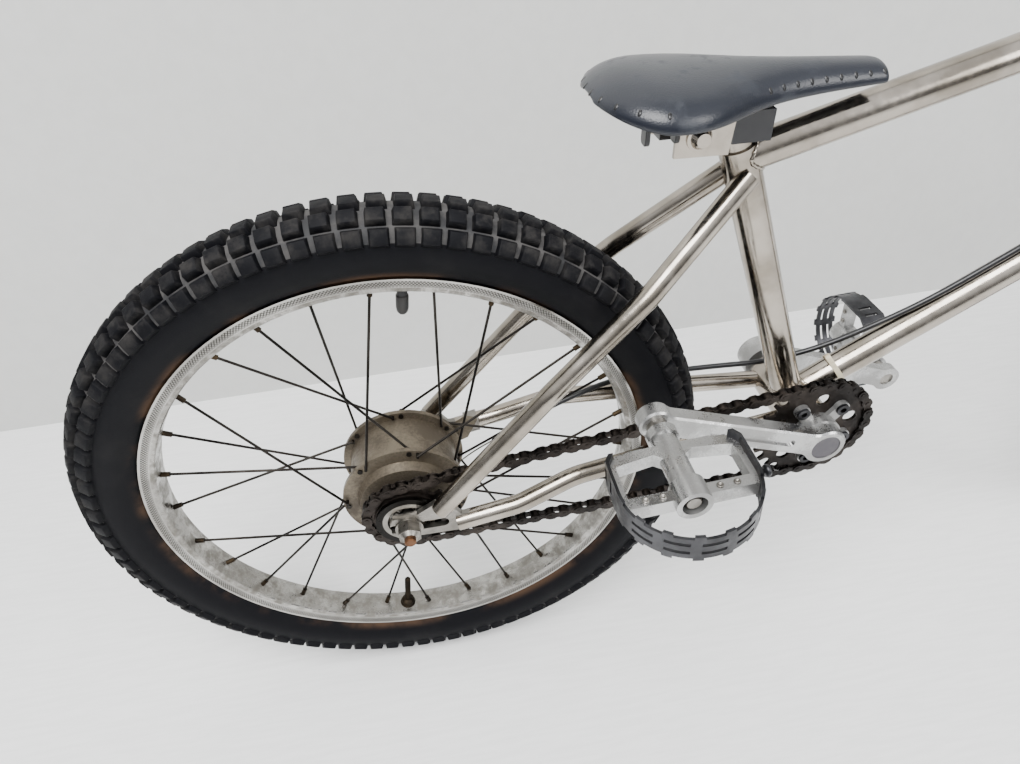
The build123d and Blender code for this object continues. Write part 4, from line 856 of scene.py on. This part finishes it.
# The directions of the seat tube and the steering, and a place low on the steering's line.
seat_line = Vector((-0.3567, 0, 0.9342))
head_line = Vector((-0.3173, 0, 0.9483))
head_foot = Vector((0.46215, 0, 0.25185))
main_tube, seat_tube, shell, head_tube = 0.0127, 0.013, 0.020, 0.017
seat_cluster = bottom_bracket + seat_line * 0.249
top_end = head_foot + head_line * 0.4408
down_end = head_foot + head_line * 0.3676
stay_top = bottom_bracket + seat_line * 0.238
sideways = Vector((0, 1, 0))
joints = [
    (bottom_bracket, seat_line, seat_tube, top_end, seat_cluster - top_end, main_tube),
    (head_foot, head_line, head_tube, seat_cluster, top_end - seat_cluster, main_tube),
    (head_foot, head_line, head_tube, bottom_bracket, down_end - bottom_bracket, main_tube),
    (bottom_bracket, sideways, shell, down_end, bottom_bracket - down_end, main_tube),
    (bottom_bracket, sideways, shell, stay_top, -seat_line, seat_tube),
]
mesh = bmesh.new()
for joint in joints:
    add_bead(mesh, bead_line(*joint), bead_width, bead_ripples)
beads = new_piece("weld_beads", mesh, worn_nickel, "frame")

# %% [markdown]
# ## Pedal screws and bearing nuts
#
# Four small socket screws hold each pedal's cross bar, and a lock nut closes the bearing inside the
# open end of its barrel. They are placed in the pedal's own plane: along its length, out from the
# frame, and up from its middle.

# %% Build the pedal screws and nuts
screw_outline = [(0.0025, -0.0006), (0.0025, 0.0010), (0.0021, 0.0014), (0.0012, 0.0014), (0.0011, 0.0004)]
nut_outline = [
    (0.0078, -0.002),
    (0.0082, 0.001),
    (0.0066, 0.0014),
    (0.0064, 0.0040),
    (0.0034, 0.0042),
    (0.0030, 0.0012),
]
screw_reach = 0.1386
bar_top = 0.0060
barrel_end = 0.1400
right_tilt = 4
left_tilt = 94


def pedal_place(name, tilt):
    """A pedal's middle on the bicycle's middle plane, and its forward direction."""
    eye = middle_of(name + "_body")
    eye.y = 0
    return eye, Vector((math.cos(math.radians(tilt)), 0, math.sin(math.radians(tilt))))


for name, side, tilt in (("right_pedal", -1, right_tilt), ("left_pedal", 1, left_tilt)):
    eye, ahead = pedal_place(name, tilt)
    above = Vector((-ahead.z, 0, ahead.x))
    outward = Vector((0, side, 0))
    mesh = bmesh.new()
    for along in (-0.032, -0.020, 0.020, 0.032):
        for face in (-1, 1):
            foot = eye + ahead * along + outward * screw_reach + above * face * bar_top
            turn_solid(mesh, foot, above * face, screw_outline, 16)
    screws = new_piece(name + "_screws", mesh, worn_steel, name)
    mesh = bmesh.new()
    turn_solid(mesh, eye + outward * barrel_end, outward, nut_outline, 6)
    nut = new_piece(name + "_lock_nut", mesh, oily_steel, name, smooth=False)

print("pedal screws and nuts made")

# %% [markdown]
# ## The thumb screw
#
# A small knurled thumb screw stands out of the right pedal's front corner, where a reflector was
# held. It is one more turned outline. Its ribs come from lifting every other side of the turn.

# %% Build the thumb screw
thumb_outline = [
    (0.0017, -0.001),
    (0.0017, 0.0062),
    (0.0042, 0.0064),
    (0.0044, 0.0090),
    (0.0036, 0.0100),
    (0.0010, 0.0102),
]
corner_reach = 0.1300
corner_ahead = 0.0498
eye, ahead = pedal_place("right_pedal", right_tilt)
mesh = bmesh.new()
foot = Vector((eye.x, -corner_reach, eye.z)) + ahead * corner_ahead
turn_solid(mesh, foot, ahead, thumb_outline, 28, 0.06)
thumb = new_piece("right_pedal_thumb_screw", mesh, blackened_steel, "right_pedal")
print("thumb screw made")

# %% [markdown]
# ## The moulded saddle
#
# The saddle is one thin moulding: round and broad at the back, narrow at the nose, and curled down
# at its edges. It is drawn as a coarse net of points, slice by slice from back to front. Each slice
# is an arch with its own half width, crown and edge. A solidify modifier then gives the net its
# thickness, and a subdivision modifier makes it smooth, which leaves a rounded lip all round.

# %% Build the saddle
saddle_low, saddle_high = (Vector(corner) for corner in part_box("saddle"))
saddle_length = saddle_high.x - saddle_low.x
broadest = 0.22
broad_half = 0.0592
slice_points = 15
front_slices = [
    (0.22, 0.0592, 0.0, 0.0230),
    (0.30, 0.0565, 0.0002, 0.0236),
    (0.37, 0.0500, 0.0006, 0.0240),
    (0.44, 0.0415, 0.0014, 0.0240),
    (0.51, 0.0332, 0.0025, 0.0235),
    (0.60, 0.0258, 0.0038, 0.0230),
    (0.70, 0.0212, 0.0052, 0.0225),
    (0.80, 0.0188, 0.0066, 0.0219),
    (0.90, 0.0173, 0.0080, 0.0214),
    (0.965, 0.0164, 0.0090, 0.0211),
    (0.99, 0.0158, 0.0105, 0.0210),
]


def saddle_slices():
    """Half width, crown and edge drops of each slice, from the rounded back to the nose."""
    slices = []
    for share in (0.004, 0.02, 0.05, 0.09, 0.14, 0.18):
        back = 1 - share / broadest
        half = broad_half * math.sqrt(1 - 0.985 * back * back)
        slices.append((share, half, 0.0125 * back**3, 0.0230 - 0.0085 * back * back))
    return slices + front_slices


net = bmesh.new()
rows = []
for share, half, crown, edge in saddle_slices():
    row = []
    for step in range(slice_points):
        swing = math.radians(-90 + 180 * step / (slice_points - 1))
        height = saddle_high.z - 0.0004 - edge + (edge - crown) * max(math.cos(swing), 0) ** 0.85
        row.append(net.verts.new((saddle_low.x + saddle_length * share, half * math.sin(swing), height)))
    rows.append(row)
for row, following in zip(rows, rows[1:]):
    for step in range(slice_points - 1):
        net.faces.new((row[step], row[step + 1], following[step + 1], following[step]))
saddle_moulding = new_piece("saddle_moulding", net, saddle_skin)
thickness = saddle_moulding.modifiers.new("moulding_thickness", "SOLIDIFY")
thickness.thickness = 0.0030
thickness.offset = -1
softness = saddle_moulding.modifiers.new("smooth_moulding", "SUBSURF")
softness.levels = 2
softness.render_levels = 2
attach(saddle_moulding, "seat")
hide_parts("saddle")
print("saddle net has", len(rows), "slices")

# %% [markdown]
# ## Lugs under the saddle
#
# Two short lugs hang below each back corner of the saddle, where a bag strap would loop, and a
# moulded block joins the saddle to its bracket. Each is an outline with rounded corners that is
# pushed out to its thickness, and a bevel modifier takes off the sharp edges.

# %% Build the lugs and the block


def add_plate(mesh, middle, width, height, thickness, roundness):
    """Adds an upright plate that faces forward, with rounded lower corners."""
    outline = [(-width / 2, height / 2), (width / 2, height / 2)]
    for corner, first in ((1, 0), (-1, 90)):
        for step in range(7):
            swing = math.radians(first + 15 * step)
            across = corner * (width / 2 - roundness) + roundness * math.cos(swing)
            outline.append((across, -height / 2 + roundness - roundness * math.sin(swing)))
    sides = []
    for depth in (-thickness / 2, thickness / 2):
        sides.append([mesh.verts.new(middle + Vector((depth, across, lift))) for across, lift in outline])
    for step in range(len(outline)):
        other = (step + 1) % len(outline)
        mesh.faces.new((sides[0][step], sides[0][other], sides[1][other], sides[1][step]))
    mesh.faces.new(sides[0])
    mesh.faces.new(sides[1])


mesh = bmesh.new()
for side in (-1, 1):
    for back in (0.026, 0.044):
        lug_middle = Vector((saddle_low.x + back, side * 0.043, 0.565))
        add_plate(mesh, lug_middle, width=0.009, height=0.019, thickness=0.003, roundness=0.003)
block_middle = Vector((saddle_low.x + 0.074, 0, 0.5725))
add_plate(mesh, block_middle, width=0.034, height=0.020, thickness=0.044, roundness=0.003)
lugs = new_piece("saddle_lugs", mesh, black_paint, smooth=False)
edges = lugs.modifiers.new("soft_edges", "BEVEL")
edges.width = 0.0006
edges.segments = 2
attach(lugs, "seat")
print("lugs made")

# %% [markdown]
# ## Lacing holes
#
# The moulding copies a leather saddle, with a row of small oval holes along its back edge and along
# each side of its nose. No hole is cut: each is a shallow dark oval on the surface, whose dark colour
# is painted shade standing for the inside of the hole. A straight line is sent at the saddle from
# outside, and the oval lies where it lands, facing back along the slope there.

# %% Build the lacing holes
hole_height = 0.0048
hole_width = 0.0028
hole_sides = 20
saddle_surface = BVHTree.FromObject(saddle_moulding, bpy.context.evaluated_depsgraph_get())


def add_hole(mesh, start, direction):
    """Lays one upright dark oval of painted hole shade where a line from outside meets the saddle."""
    place, slope, _, _ = saddle_surface.ray_cast(start, direction)
    if place is None:
        return 0
    if slope.dot(direction) > 0:
        slope = -slope
    upright = (Vector((0, 0, 1)) - slope * slope.z).normalized()
    level = slope.cross(upright)
    rim = []
    for step in range(hole_sides):
        swing = 2 * math.pi * step / hole_sides
        spot = upright * math.cos(swing) * hole_height / 2 + level * math.sin(swing) * hole_width / 2
        rim.append(place + spot)
    low = [mesh.verts.new(spot - slope * 0.0005) for spot in rim]
    high = [mesh.verts.new(place + (spot - place) * 0.85 + slope * 0.00015) for spot in rim]
    for step in range(hole_sides):
        other = (step + 1) % hole_sides
        mesh.faces.new((low[step], low[other], high[other], high[step]))
    mesh.faces.new(low)
    mesh.faces.new(high)
    return 1


mesh = bmesh.new()
holes = 0
broad_middle = Vector((saddle_low.x + saddle_length * broadest, 0, 0))
for number in range(10):
    turn = math.radians(-82 + 164 * number / 9)
    outward = Vector((-math.cos(turn), math.sin(turn), 0))
    height = saddle_high.z - 0.0135 + 0.002 * abs(math.cos(turn))
    start = broad_middle + outward * 0.09 + Vector((0, 0, height))
    holes += add_hole(mesh, start, -outward)
for number in range(9):
    share = 0.55 + 0.42 * number / 8
    height = saddle_high.z - 0.0145
    for side in (-1, 1):
        start = Vector((saddle_low.x + saddle_length * share, side * 0.08, height))
        holes += add_hole(mesh, start, Vector((0, -side, 0)))
# The dark ovals are painted shade that stands for the holes.
painted_hole_shade_ovals = new_piece("saddle_lacing_holes_painted_shade", mesh, black_paint, "seat")
print("lacing holes made:", holes)

# %% [markdown]
# ## Floor, wall and light
#
# The bicycle stands on a pale floor in front of a plain wall. Both carry a faint grain, so that
# they look like real surfaces without drawing the eye. The light is soft: a large lamp overhead,
# a second to the side, and a pale surround that fills the shadows. The wall is clear from its back,
# because it would hide the bicycle from anyone who walks round it.

# %% Build the floor, the wall and the lights


def flat_sheet(name, corners, finish):
    """One flat rectangle that belongs to the room."""
    mesh = bmesh.new()
    mesh.faces.new([mesh.verts.new(corner) for corner in corners])
    sheet = new_piece(name, mesh, finish)


def room_finish(name, pale, shaded, stretch):
    """A pale room surface with a faint grain."""
    finish, tree, shader = start_finish(name)
    grain = clouds(tree, own_place(tree, stretch=stretch), 0.02, 6, 0.6)
    join(tree, blend_colours(tree, rise(tree, grain, 0.35, 0.65), shaded, pale), shader, "Base Color")
    join(tree, rise(tree, grain, 0.3, 0.7, 0.55, 0.7), shader, "Roughness")
    return finish


def clear_back(finish):
    """Lets a view from behind a sheet pass through it, so that the wall never hides the bicycle."""
    tree = finish.node_tree
    side = tree.nodes.new("ShaderNodeNewGeometry")
    clear = tree.nodes.new("ShaderNodeBsdfTransparent")
    pick = tree.nodes.new("ShaderNodeMixShader")
    tree.links.new(side.outputs["Backfacing"], pick.inputs[0])
    tree.links.new(tree.nodes["Principled BSDF"].outputs["BSDF"], pick.inputs[1])
    tree.links.new(clear.outputs["BSDF"], pick.inputs[2])
    tree.links.new(pick.outputs["Shader"], tree.nodes["Material Output"].inputs["Surface"])


def room_lamp(name, place, aim, size, power):
    """A large soft lamp that points at a place."""
    light = bpy.data.lights.new(name, "AREA")
    light.shape = "DISK"
    light.size = size
    light.energy = power
    lamp = bpy.data.objects.new(name, light)
    lamp.location = place
    lamp.rotation_euler = (Vector(aim) - Vector(place)).to_track_quat("-Z", "Y").to_euler()
    bpy.context.collection.objects.link(lamp)


floor_finish = room_finish("pale_floor", (0.86, 0.86, 0.85), (0.81, 0.81, 0.80), (0.35, 4, 1))
wall_finish = room_finish("pale_wall", (0.62, 0.62, 0.60), (0.60, 0.60, 0.58), (1, 1, 1))
clear_back(wall_finish)
flat_sheet("floor", [(-6, -6, 0), (6, -6, 0), (6, 6, 0), (-6, 6, 0)], floor_finish)
flat_sheet("wall", [(-6, 0.375, 0), (6, 0.591, 0), (6, 0.591, 5), (-6, 0.375, 5)], wall_finish)
room_lamp("lamp_above", (-0.9, -0.9, 2.4), (-0.2, 0, 0.3), 1.6, 95)
room_lamp("lamp_ahead", (1.6, -1.6, 1.8), (0, 0, 0.3), 1.4, 40)
world = bpy.data.worlds.new("room")
world.use_nodes = True
backdrop = world.node_tree.nodes["Background"]
heights = world.node_tree.nodes.new("ShaderNodeSeparateXYZ")
directions = world.node_tree.nodes.new("ShaderNodeTexCoord")
world.node_tree.links.new(directions.outputs["Generated"], heights.inputs["Vector"])
glow = rise(world.node_tree, heights.outputs["Z"], 0.05, 0.75, 0.30, 1.55)
world.node_tree.links.new(glow, backdrop.inputs["Strength"])
backdrop.inputs["Color"].default_value = (0.94, 0.96, 1.0, 1)
bpy.context.scene.world = world
print("room made")
